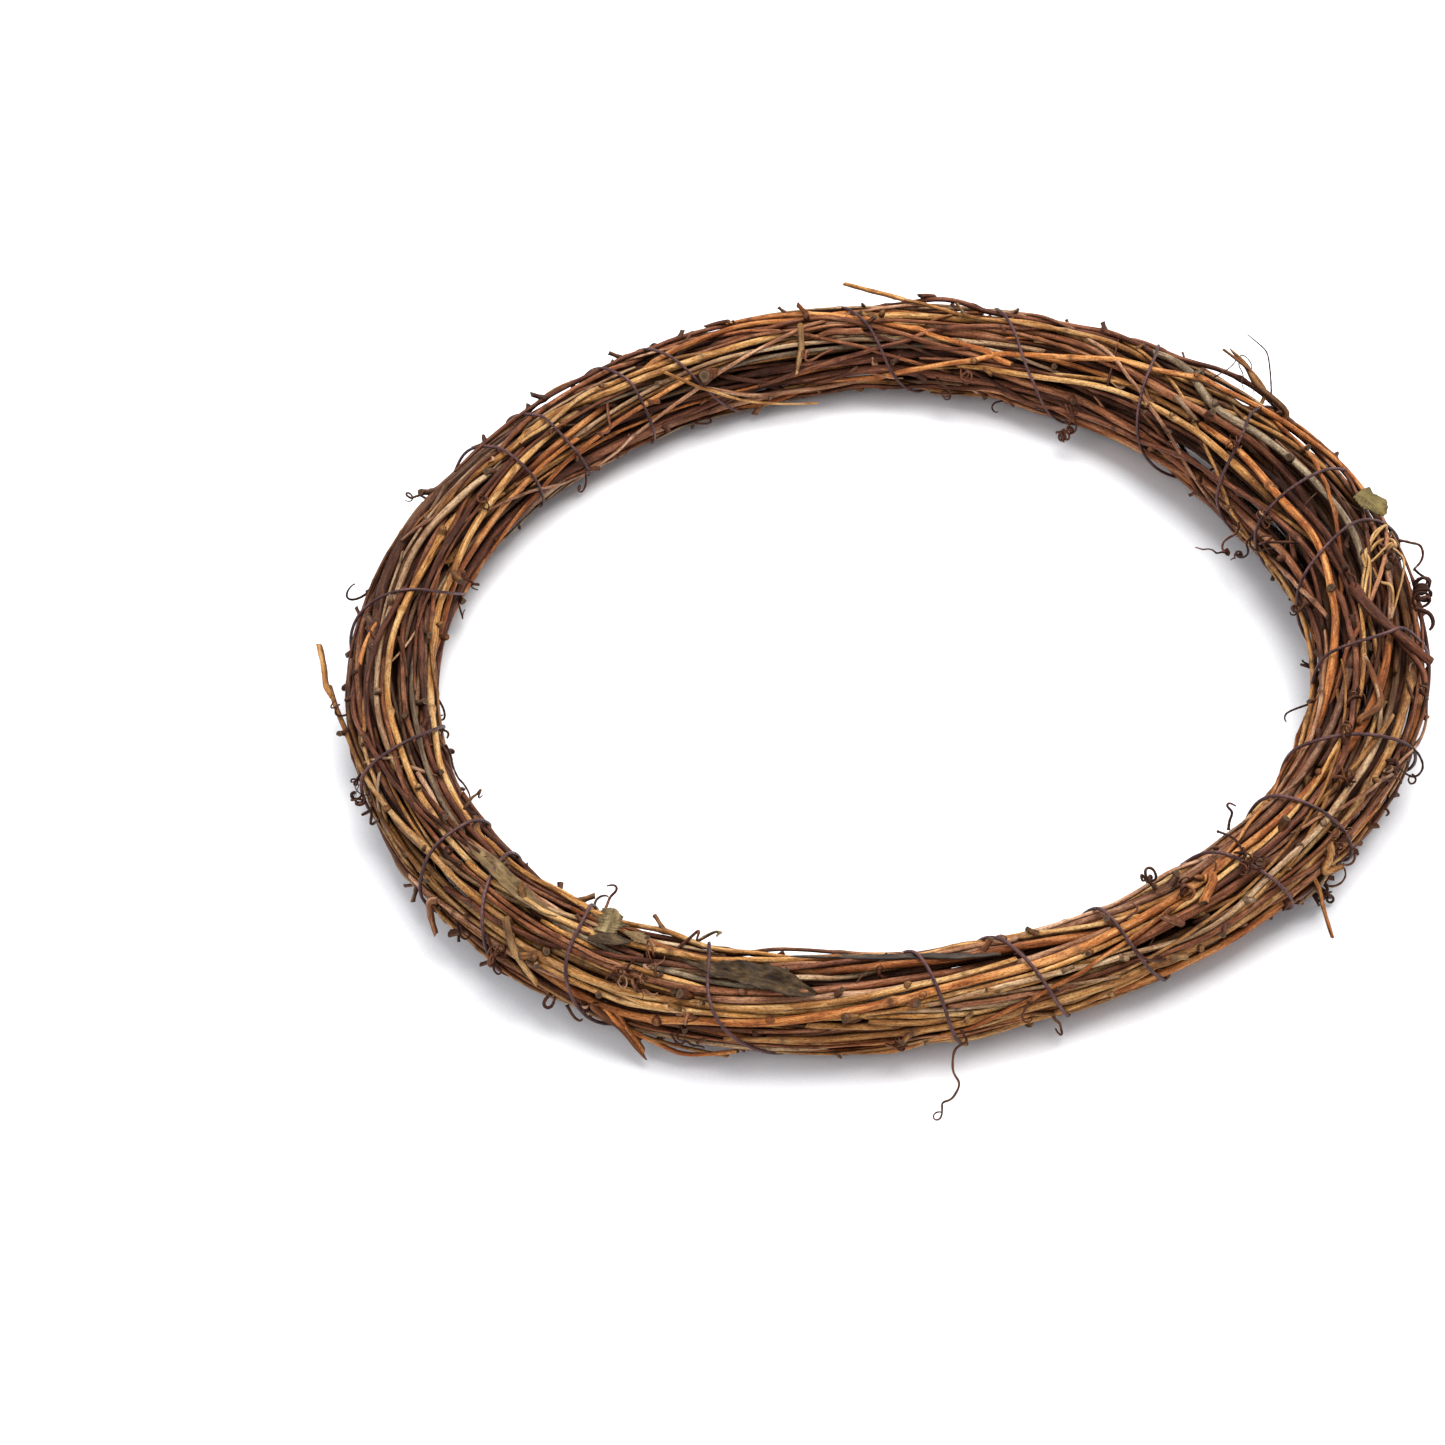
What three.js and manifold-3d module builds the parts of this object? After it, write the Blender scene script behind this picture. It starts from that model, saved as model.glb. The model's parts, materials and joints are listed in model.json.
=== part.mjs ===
// Grapevine wreath lying flat on z = 0. Millimetres, z up.
// Ring angle is counted from +x towards +y. Section angle is 0 on the outer side of the
// bundle, 90 on top, 180 on the inner side and 270 underneath.
import * as THREE from 'three';
import Module from 'manifold-3d';

const wasm = await Module();
wasm.setup();

// Driving dimensions
const RING_RADIUS = 181;      // middle of the ring to the middle of the bundle
const LIFT = 1.8;             // bundle's underside above the surface, taken up by the wire
const CLEAR = 0.16;           // least space between two canes
const STATIONS = 36;          // section planes in one turn
const WIRE = { halfThick: 0.62, halfWide: 0.75, clear: 0.16, edges: 12 };
const TENDRIL_RADIUS = 0.62;
const LEAF_THICK = 0.7;
const LED_SPAN = [0.6, 0.76];     // share of a turn that a cane covers
const FREE_SPAN = [0.66, 0.86];
const TIP = { size: 0.62, growth: 0.075 };  // a tip's share of the radius, and its growth per station
const KNOT = { every: 5, swell: 1.13 };     // thicker stations
const LOOSE_REACH = 16;           // most stations that a loose cane runs on inside the bundle
const SEED = 70412;

// Ring and bundle radii as waves round the ring: [waves, cosine, sine]
const RING_WAVES = [[2, 1.4, 0], [3, 0.7, -3], [4, -0.3, -2]];
const BUNDLE_RADIUS = 18.4;
const BUNDLE_WAVES = [[1, 2.3, 1.6], [2, 1.8, 0.6], [3, 1.3, 0.4]];

const COLOURS = {
  golden: 0xb98a4a, tan: 0xa87748, orange: 0xb06a32, red: 0x8a4a30, dark: 0x5c3a2a,
  grey: 0x857258, pale: 0xc9a878,
};

// Canes followed by eye: radius, colour, [ring angle, section angle, height over the bundle].
// loose tells which end springs out of the bundle, 0 the first and 1 the last.
const LED = [
  { r: 2.2, c: 'grey', p: [[-12, 100, -5], [-6, 92, -1], [0, 90, 0], [8, 91, 0], [15, 94, 0],
    [21, 100, 0], [25, 111, 0], [30, 108, 0], [35, 92, 0], [39, 78, 0], [46, 60, -4]] },
  { r: 2.1, c: 'orange', p: [[318, 142, -2], [327, 140, 0], [335, 137, 0], [343, 132, 0],
    [350, 126, 0], [360, 124, 0], [366, 125, 0], [371, 131, 0], [377, 131, 0], [383, 124, -3]] },
  { r: 2.1, c: 'orange', p: [[234, -6, -1], [241, 3, 0], [245, 13, 0], [250, 23, 0], [255, 31, 0],
    [262, 42, 0], [270, 53, 0], [280, 60, 0], [286, 68, 0], [292, 80, 0], [300, 90, 0],
    [310, 95, 0], [320, 95, 0], [330, 86, 0], [340, 76, 0], [350, 62, -3]] },
  { r: 2.1, c: 'golden', p: [[218, 46, -2], [225, 38, 0], [232, 31, 0], [240, 33, 0], [248, 38, 0],
    [255, 46, 0], [262, 56, 0], [270, 67, 0], [280, 72, 0], [288, 80, -3]] },
  { r: 1.9, c: 'red', p: [[214, 64, -2], [222, 62, 0], [232, 58, 0], [240, 56, 0], [248, 56, 0],
    [255, 62, 0], [262, 71, 0], [270, 80, 0], [276, 86, -2]] },
  { r: 1.7, c: 'pale', p: [[264, 60, -3], [272, 48, 0], [280, 45, 0], [288, 43, 0], [295, 35, 0],
    [300, 28, 0], [305, 36, 0], [310, 50, 0], [316, 56, 0], [325, 58, 0], [334, 62, -3]] },
  { r: 2.3, c: 'golden', p: [[243, -8, -1], [252, -4, 0], [262, 2, 0], [272, 8, 0], [282, 12, 0],
    [292, 13, 0], [300, 13, 0], [308, 17, 0], [316, 30, 0], [325, 41, 0], [334, 40, -2]] },
  { r: 2.2, c: 'golden', p: [[118, 112, -5], [127, 120, -1], [135, 128, 0], [145, 141, 0],
    [155, 149, 0], [165, 155, 0], [172, 161, 0], [180, 164, 0], [190, 154, 0], [200, 137, 0],
    [210, 125, 0], [218, 112, -2]] },
  { r: 2.1, c: 'golden', p: [[52, 80, -4], [62, 83, -0.5], [70, 85, 0], [78, 88, 0], [85, 95, 0],
    [95, 104, 0], [105, 112, 0], [115, 113, 0], [125, 112, 0], [138, 112, 0], [147, 108, -3]] },
  { r: 2.0, c: 'orange', p: [[78, 76, -2], [87, 80, 0], [95, 81, 0], [102, 86, 0], [108, 96, 0],
    [117, 114, 0], [125, 125, 0], [138, 136, 0], [148, 148, -3]] },
  { r: 2.1, c: 'golden', p: [[12, 140, -4], [22, 133, -0.5], [30, 134, 0], [40, 141, 0],
    [50, 149, 0], [60, 158, 0], [68, 164, 0], [78, 170, -3]] },
  { r: 2.2, c: 'red', p: [[14, 112, -4], [24, 120, 0], [30, 122, 0], [38, 120, 0], [45, 114, 0],
    [50, 104, 0], [55, 93, 0], [61, 88, -1], [69, 84, -4]] },
  { r: 2.5, c: 'red', p: [[160, 24, -3], [170, 29, -0.5], [178, 33, 0], [185, 40, 0], [195, 44, 0],
    [205, 48, 0], [214, 56, -3]] },
  { r: 1.8, c: 'golden', p: [[148, 122, -3], [158, 115, 0], [170, 105, 0], [180, 93, 0],
    [190, 86, 0], [200, 83, 0], [209, 80, -3]] },
  { r: 2.2, c: 'red', p: [[350, 146, -2], [360, 158, 0], [370, 172, 0], [380, 178, 0],
    [390, 181, 0], [400, 178, 0], [410, 175, 0], [420, 172, 0], [430, 168, -3]] },
  { r: 1.6, c: 'red', p: [[56, 170, -2], [66, 158, 0], [72, 144, 0.5], [80, 119, 0.8],
    [85, 108, 1], [90, 98, 1.2], [100, 92, 0.5], [107, 88, -3]] },
  { r: 2.0, c: 'tan', p: [[90, 222, -3], [99, 201, 0], [105, 172, 0], [112, 148, 0],
    [119, 138, -2]] },
  { r: 2.1, c: 'orange', p: [[122, 150, -3], [134, 144, 0], [141, 149, 0], [150, 160, 0],
    [160, 169, 0], [168, 174, -2]] },
  { r: 1.9, c: 'pale', p: [[122, 118, -4], [134, 118, 0], [143, 114, 0], [150, 104, 0],
    [157, 92, 0], [166, 84, -3]] },
  { r: 2.2, c: 'tan', p: [[276, 104, -2], [286, 110, 0], [296, 112, 0], [306, 112, 0],
    [318, 116, 0], [330, 117, 0], [340, 112, -1], [350, 104, -4]] },
  { r: 2.1, c: 'orange', p: [[222, 118, -2], [230, 110, 0], [240, 106, 0], [250, 106, -1],
    [262, 108, -2], [272, 100, -2], [280, 92, -3]] },
  { r: 2.0, c: 'tan', p: [[208, 104, -3], [216, 105, 0], [224, 104, 0], [232, 90, -1.5],
    [241, 82, -2]] },
  { r: 1.8, c: 'golden', loose: 1, p: [[36, 74, -5], [45, 82, -1], [52, 84, 0], [60, 94, 0],
    [67, 100, 0.3], [74, 82, 0.8], [79, 62, 2.6], [83, 54, 5.6], [88, 48, 8.6]] },
  { r: 2.0, c: 'golden', loose: 0, p: [[174, 6, 14], [180, 5, 9], [186, 8, 4.4], [192, 16, 1.2],
    [197, 30, 0], [203, 45, 0], [210, 55, 0], [218, 68, -3]] },
  { r: 1.9, c: 'tan', loose: 0, p: [[202, -10, 11], [206, -6, 6], [210, 4, 2], [214, 18, 0.3],
    [219, 20, 0], [228, 14, -0.5], [238, 10, -3]] },
  { r: 2.6, c: 'dark', loose: 0, p: [[350, 104, 0.4], [354, 109, 0], [360, 112, -1],
    [370, 117, -3], [384, 120, -6]] },
  { r: 1.3, c: 'pale', loose: 1, p: [[268, 52, -3], [280, 36, -0.5], [288, 26, 0], [293, 4, 1.2],
    [299, -20, 4.5]] },
  { r: 1.4, c: 'golden', loose: 1, p: [[214, 42, -3], [225, 18, 0], [232, -10, 0.3],
    [239, -24, 1.2], [246, -34, 2.6], [252, -38, 4]] },
];

// Wire turns: ring angle where the wire crosses section angles 150, 90 and 30
const WIRE_TURNS = [
  [369.5, 368.9, 373], [379.8, 383, 388], [399.5, 402, 405], [418.5, 424.8, 428], [441.3, 445, 448.3],
  [469.5, 472, 474.3], [478.3, 479.4, 480.4], [492.2, 492.8, 492.4], [500.5, 500.7, 499.6],
  [526.5, 529.5, 529.8], [551.8, 557, 555.4], [570.7, 571.8, 572.4], [577.6, 579.6, 582.8],
  [591, 592.7, 593], [605.8, 607.3, 608.7], [628.2, 630.4, 631.6], [637, 640.3, 642.2],
  [651.2, 651.4, 652], [665.5, 667.2, 669.3], [677.3, 677.8, 678.6], [685.2, 687.8, 692],
  [700.7, 702.5, 705.3], [715.7, 719.5, 723.5],
];

const rad = Math.PI / 180;
const STEP = 2 * Math.PI / STATIONS;
const mod = (k) => ((k % STATIONS) + STATIONS) % STATIONS;

function seeded(seed) {
  let s = seed >>> 0;
  return () => {
    s = (s + 0x6d2b79f5) >>> 0;
    let t = Math.imul(s ^ (s >>> 15), 1 | s);
    t = (t + Math.imul(t ^ (t >>> 7), 61 | t)) ^ t;
    return ((t ^ (t >>> 14)) >>> 0) / 4294967296;
  };
}
const rnd = seeded(SEED);
const between = (a, b) => a + (b - a) * rnd();

const waves = (list, a) => list.reduce((s, [n, c, d]) => s + c * Math.cos(n * a) + d * Math.sin(n * a), 0);
const ringAt = (a) => RING_RADIUS + waves(RING_WAVES, a);
const bundleAt = (a) => BUNDLE_RADIUS + waves(BUNDLE_WAVES, a);

// Point at ring angle a, with u outward and v upward from the middle of the bundle
function place(a, u, v) {
  const d = ringAt(a) + u;
  return new THREE.Vector3(d * Math.cos(a), d * Math.sin(a), bundleAt(a) + LIFT + v);
}

function sectionOf(p) {
  const a = Math.atan2(p.y, p.x);
  return { a, u: Math.hypot(p.x, p.y) - ringAt(a), v: p.z - bundleAt(a) - LIFT };
}

// Value of a route at a ring angle in degrees
function along(points, deg) {
  if (deg <= points[0][0]) return points[0].slice(1);
  for (let i = 1; i < points.length; i++) {
    if (deg <= points[i][0]) {
      const [p, q] = [points[i - 1], points[i]];
      const t = (deg - p[0]) / (q[0] - p[0]);
      return p.slice(1).map((x, j) => x + (q[j + 1] - x) * t);
    }
  }
  return points[points.length - 1].slice(1);
}

// Routes of all canes
const canes = [];
const load = new Array(STATIONS).fill(0);
const room = (k) => bundleAt(k * STEP) ** 2;

// Of some spans of stations, the one that leaves the bundle filled most evenly
function evenest(options, r) {
  let best = null;
  let least = Infinity;
  for (const [k0, k1] of options) {
    let cost = 0;
    for (let k = k0; k <= k1; k++) {
      cost += (load[mod(k)] + r * r) / room(k);
    }
    cost /= k1 - k0 + 1;
    if (cost < least) {
      least = cost;
      best = [k0, k1];
    }
  }
  return best;
}

function addCane(k0, k1, r, colour, route, sides, tipAtEnd, tipAtStart) {
  const cane = { k0, k1, colour, sides, u: [], v: [], r: [], goal: [], turn: between(0, 6.28) };
  const swell = Math.floor(between(0, KNOT.every));
  for (let k = k0; k <= k1; k++) {
    const [phi, out, hold] = route(k * STEP / rad);
    let size = r * (1 + 0.05 * Math.sin(k * 1.7 + swell));
    if ((k + swell) % KNOT.every === 0) size *= KNOT.swell;
    if (tipAtEnd) size *= Math.min(1, TIP.size + TIP.growth * (k1 - k));
    if (tipAtStart) size *= Math.min(1, TIP.size + TIP.growth * (k - k0));
    const reach = bundleAt(k * STEP) - size + out;
    const u = reach * Math.cos(phi * rad);
    const v = reach * Math.sin(phi * rad);
    cane.u.push(u);
    cane.v.push(v);
    cane.r.push(size);
    cane.goal.push({ u, v, hold, out });
    load[mod(k)] += size * size;
  }
  canes.push(cane);
  return cane;
}

for (const led of LED) {
  const first = led.p[0];
  const last = led.p[led.p.length - 1];
  const span = Math.round(between(...LED_SPAN) * STATIONS);
  const a0 = Math.ceil(first[0] * rad / STEP);
  const a1 = Math.floor(last[0] * rad / STEP);
  const spare = Math.max(4, span - (a1 - a0));
  const options = [];
  for (let i = 0; i <= 8; i++) {
    const before = Math.round(spare * i / 8);
    options.push([a0 - (led.loose === 0 ? 0 : before), a1 + (led.loose === 1 ? 0 : spare - before)]);
  }
  let [k0, k1] = evenest(options, led.r);
  if (led.loose === 1) [k0, k1] = [a0 - Math.min(spare, LOOSE_REACH), a1];
  if (led.loose === 0) [k0, k1] = [a0, a1 + Math.min(spare, LOOSE_REACH)];
  const drift = [between(-0.9, 0.9), between(-0.9, 0.9)];
  const deep = [between(4, 12), between(4, 12)];
  const route = (deg) => {
    const [phi, out] = along(led.p, deg);
    const past = deg < first[0] ? first[0] - deg : deg > last[0] ? deg - last[0] : 0;
    if (!past) return [phi, out, out > -1.2 ? 0.3 : 0.06];
    const side = deg < first[0] ? 0 : 1;
    return [phi + drift[side] * past, out - deep[side] * (1 - Math.exp(-past / 14)), 0.012];
  };
  const sides = led.r < 1.95 ? 4 : 5;
  addCane(k0, k1, led.r, led.c, route, sides, led.loose !== 0, led.loose !== 1);
}

// Further canes: underside, inner and outer flanks, then the heart of the bundle
const KINDS = ['tan', 'orange', 'red', 'golden', 'dark', 'tan', 'red', 'orange'];
function addFree(count, sides, radii, depth, phis) {
  for (let i = 0; i < count; i++) {
    const r = between(...radii);
    const span = Math.round(between(...FREE_SPAN) * STATIONS);
    const options = [];
    for (let j = 0; j < STATIONS; j++) {
      options.push([j, j + span]);
    }
    const [k0, k1] = evenest(options, r);
    const phi0 = phis[0] + (phis[1] - phis[0]) * (i + 0.5) / count + between(-12, 12);
    const rate = between(-0.34, 0.34);
    const sink = between(...depth);
    const sway = [between(0, 6.28), between(0.5, 3)];
    const middle = (k0 + k1) / 2 * STEP / rad;
    const route = (deg) => {
      const deep = sink + sway[1] * (1 + Math.sin(deg * rad * 2 + sway[0]));
      return [phi0 + rate * (deg - middle), -deep, 0.015];
    };
    addCane(k0, k1, r, KINDS[(i + count) % KINDS.length], route, sides, true, true);
  }
}
addFree(12, 4, [2.0, 2.6], [0, 1.5], [185, 365]);
addFree(8, 4, [2.6, 3.2], [8, 13], [0, 360]);

// Canes settle beside one another inside the bundle
function settle(rounds, bend, hold) {
  for (let it = 0; it < rounds; it++) {
    const b = bend * (1 - it / rounds);
    for (const c of canes) {
      const n = c.u.length;
      for (let i = 0; i < n; i++) {
        const g = c.goal[i];
        if (i > 0 && i < n - 1 && g.hold < 0.2) {
          c.u[i] += b * ((c.u[i - 1] + c.u[i + 1]) / 2 - c.u[i]);
          c.v[i] += b * ((c.v[i - 1] + c.v[i + 1]) / 2 - c.v[i]);
        }
        c.u[i] += g.hold * hold * (g.u - c.u[i]);
        c.v[i] += g.hold * hold * (g.v - c.v[i]);
      }
    }
    for (let s = 0; s < STATIONS; s++) {
      part(s);
    }
    confine();
  }
}

function present(s) {
  const list = [];
  for (const c of canes) {
    const i = mod(s - c.k0);
    if (i < c.u.length - 1) list.push([c, i]);
    if (i + STATIONS < c.u.length - 1) list.push([c, i + STATIONS]);
  }
  return list;
}

function nearest(c, i, d, j) {
  const x0 = c.u[i] - d.u[j];
  const y0 = c.v[i] - d.v[j];
  const x1 = c.u[i + 1] - d.u[j + 1] - x0;
  const y1 = c.v[i + 1] - d.v[j + 1] - y0;
  const q = x1 * x1 + y1 * y1;
  const t = q > 1e-9 ? Math.min(1, Math.max(0, -(x0 * x1 + y0 * y1) / q)) : 0.5;
  const need0 = c.r[i] + d.r[j];
  const need1 = c.r[i + 1] + d.r[j + 1];
  const x = x0 + t * x1;
  const y = y0 + t * y1;
  const gap = (w) => Math.hypot(x0 + w * x1, y0 + w * y1) - need0 * (1 - w) - need1 * w;
  const need = need0 * (1 - t) + need1 * t;
  return { t, x, y, need, dist: Math.hypot(x, y), gap: Math.min(gap(t), gap(0), gap(1)) };
}

function part(s) {
  const list = present(s);
  for (let m = 0; m < list.length; m++) {
    for (let n = m + 1; n < list.length; n++) {
      const [c, i] = list[m];
      const [d, j] = list[n];
      const near = nearest(c, i, d, j);
      const lack = near.need + CLEAR - near.dist;
      if (lack <= 0) continue;
      const t = near.t;
      const scale = 0.5 * lack / ((1 - t) ** 2 + t * t) / Math.max(near.dist, 1e-6);
      const dx = near.x * scale;
      const dy = near.y * scale;
      c.u[i] += dx * (1 - t);
      c.v[i] += dy * (1 - t);
      c.u[i + 1] += dx * t;
      c.v[i + 1] += dy * t;
      d.u[j] -= dx * (1 - t);
      d.v[j] -= dy * (1 - t);
      d.u[j + 1] -= dx * t;
      d.v[j + 1] -= dy * t;
    }
  }
}

function confine() {
  for (const c of canes) {
    for (let i = 0; i < c.u.length; i++) {
      const g = c.goal[i];
      const reach = Math.hypot(c.u[i], c.v[i]);
      const low = c.v[i] < -0.3 * reach;
      const slack = low && g.out < 1 ? 0 : Math.max(0.7, g.out + 0.5);
      const most = bundleAt((c.k0 + i) * STEP) - c.r[i] + slack;
      if (reach > most) {
        c.u[i] *= most / reach;
        c.v[i] *= most / reach;
      }
    }
  }
}

settle(260, 0.35, 1);
settle(260, 0.12, 0.35);
settle(160, 0.02, 0.03);

// Where two canes still press together both are a little thinner
for (let round = 0; round < 6; round++) {
  for (let s = 0; s < STATIONS; s++) {
    const list = present(s);
    for (let m = 0; m < list.length; m++) {
      for (let n = m + 1; n < list.length; n++) {
        const [c, i] = list[m];
        const [d, j] = list[n];
        const lack = CLEAR * 0.5 - nearest(c, i, d, j).gap;
        if (lack <= 0) continue;
        for (const [e, k] of [[c, i], [d, j]]) {
          const cut = Math.min(0.5 * lack + 0.01, 0.3 * e.r[k]);
          e.r[k] -= cut;
          e.r[k + 1] -= cut;
        }
      }
    }
  }
}

// Closed tube from rings of points, first and last ring capped
function tube(rings) {
  const n = rings[0].length;
  const xyz = rings.flat().flatMap((p) => [p.x, p.y, p.z]);
  const tri = [];
  for (let k = 0; k + 1 < rings.length; k++) {
    for (let i = 0; i < n; i++) {
      const [a, b] = [k * n + i, k * n + (i + 1) % n];
      tri.push(a, b, a + n, b, b + n, a + n);
    }
  }
  const end = (rings.length - 1) * n;
  for (let i = 1; i + 1 < n; i++) {
    tri.push(0, i + 1, i, end, end + i, end + i + 1);
  }
  return outward({ xyz, tri });
}

function outward(m) {
  let volume = 0;
  const at = (i) => new THREE.Vector3(m.xyz[3 * i], m.xyz[3 * i + 1], m.xyz[3 * i + 2]);
  for (let i = 0; i < m.tri.length; i += 3) {
    volume += at(m.tri[i]).dot(at(m.tri[i + 1]).cross(at(m.tri[i + 2])));
  }
  if (volume > 0) return m;
  for (let i = 0; i < m.tri.length; i += 3) {
    [m.tri[i + 1], m.tri[i + 2]] = [m.tri[i + 2], m.tri[i + 1]];
  }
  return m;
}

const toSolid = (m) => new wasm.Manifold(new wasm.Mesh({
  numProp: 3, vertProperties: new Float32Array(m.xyz), triVerts: new Uint32Array(m.tri),
}));

function fromSolid(solid) {
  const g = solid.getMesh();
  const xyz = [];
  for (let i = 0; i < g.numVert; i++) {
    for (let j = 0; j < 3; j++) {
      xyz.push(g.vertProperties[i * g.numProp + j]);
    }
  }
  return { xyz, tri: [...g.triVerts] };
}

function caneRings(c) {
  const rings = [];
  for (let i = 0; i < c.u.length; i++) {
    const a = (c.k0 + i) * STEP;
    const ring = [];
    for (let j = 0; j < c.sides; j++) {
      const w = c.turn + 2 * Math.PI * j / c.sides;
      ring.push(place(a, c.u[i] + c.r[i] * Math.cos(w), c.v[i] + c.r[i] * Math.sin(w)));
    }
    rings.push(ring);
  }
  return rings;
}

// Round tube along free points, thinning from r0 to r1
function shoot(points, r0, r1, sides) {
  const n = points.length;
  const rings = [];
  let side = new THREE.Vector3(0.3, 0.2, 1);
  for (let i = 0; i < n; i++) {
    const t = points[Math.min(i + 1, n - 1)].clone().sub(points[Math.max(i - 1, 0)]).normalize();
    side = side.clone().addScaledVector(t, -side.dot(t)).normalize();
    const other = t.clone().cross(side);
    const r = r0 + (r1 - r0) * i / (n - 1);
    const ring = [];
    for (let j = 0; j < sides; j++) {
      const w = 2 * Math.PI * j / sides;
      const p = points[i].clone().addScaledVector(side, r * Math.cos(w));
      ring.push(p.addScaledVector(other, r * Math.sin(w)));
    }
    rings.push(ring);
  }
  return tube(rings);
}

// Balls along everything built so far, for finding room
const balls = [];
function addBalls(points, radii, owner, step = 3) {
  for (let i = 0; i + 1 < points.length; i++) {
    const n = Math.max(1, Math.ceil(points[i].distanceTo(points[i + 1]) / step));
    for (let j = 0; j < n; j++) {
      const t = j / n;
      const p = points[i].clone().lerp(points[i + 1], t);
      balls.push({ p, r: radii[i] * (1 - t) + radii[i + 1] * t, owner });
    }
  }
  balls.push({ p: points[points.length - 1].clone(), r: radii[radii.length - 1], owner });
}
for (const c of canes) {
  addBalls(c.u.map((u, i) => place((c.k0 + i) * STEP, u, c.v[i])), c.r, c);
}

// Space round a ball of radius r at p, as far as its near neighbours go
const NEAR = 14;
function roomAt(p, r, owner) {
  let least = Infinity;
  for (const b of balls) {
    if (b.owner === owner) continue;
    if (Math.abs(b.p.x - p.x) > NEAR || Math.abs(b.p.y - p.y) > NEAR) continue;
    least = Math.min(least, b.p.distanceTo(p) - b.r - r);
  }
  return least;
}

const extras = new Map(canes.map((c) => [c, []]));

// Nearest cane to a point, and its middle there
function hostAt(p, skip = []) {
  let best = null;
  for (const b of balls) {
    if (!extras.has(b.owner) || skip.includes(b.owner)) continue;
    const d = b.p.distanceTo(p) - b.r;
    if (!best || d < best.d) best = { d, c: b.owner, p: b.p, r: b.r };
  }
  return best;
}

const surface = (deg, phi, out) => {
  const reach = bundleAt(deg * rad) + out;
  return place(deg * rad, reach * Math.cos(phi * rad), reach * Math.sin(phi * rad));
};

// Whether a shoot thinning from r0 to r1 keeps its distance from everything but its host
function clears(path, r0, r1, host, distance) {
  const last = path.length - 1;
  for (let i = 0; i < last; i++) {
    const n = Math.ceil(path[i].distanceTo(path[i + 1]) / 1.2);
    for (let j = 0; j <= n; j++) {
      const r = r0 + (r1 - r0) * (i + j / n) / last;
      if (roomAt(path[i].clone().lerp(path[i + 1], j / n), r, host) <= distance) return false;
    }
  }
  return true;
}

// Shoot rooted in one of the nearest canes; its free part is lifted until it clears its neighbours
const HOSTS = 3;
const MOST_LIFT = 6;
function grow(points, r0, r1, sides, distance = 0.4) {
  const start = surface(...points[0]);
  const used = [];
  for (let i = 0; i < HOSTS; i++) {
    const host = hostAt(start, used);
    const base = sectionOf(host.p);
    const phi = Math.atan2(base.v, base.u) / rad;
    for (let up = 0; up < MOST_LIFT; up += 0.5) {
      const top = surface(base.a / rad, phi, Math.max(points[0][2], 0.8) + up);
      const free = points.slice(1).map(([deg, at, out]) => surface(deg, at, out + up));
      const path = [host.p.clone(), top, ...free];
      if (!clears(path, r0, r1, host.c, distance)) continue;
      extras.get(host.c).push(shoot(path, r0, r1, sides));
      const radii = path.map((_, k) => r0 + (r1 - r0) * k / (path.length - 1));
      addBalls(path.slice(1), radii.slice(1), null, 1.5);
      return;
    }
    used.push(host.c);
  }
}

// Binding wire: every edge lies on the canes below it, the lowest one flat on the surface
const EDGE = 2 * Math.PI / WIRE.edges;
const windings = WIRE_TURNS.length;
const wirePoints = [];
WIRE_TURNS.forEach(([a, b, c], i) => {
  const w = i * 360;
  wirePoints.push([w - 60, a], [w, b], [w + 60, c]);
});
wirePoints.unshift([-180, 366.2]);
wirePoints.push([(windings - 1) * 360 + 180, 725.2]);
const wireAngle = (w) => along(wirePoints, w)[0] * rad;

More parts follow.
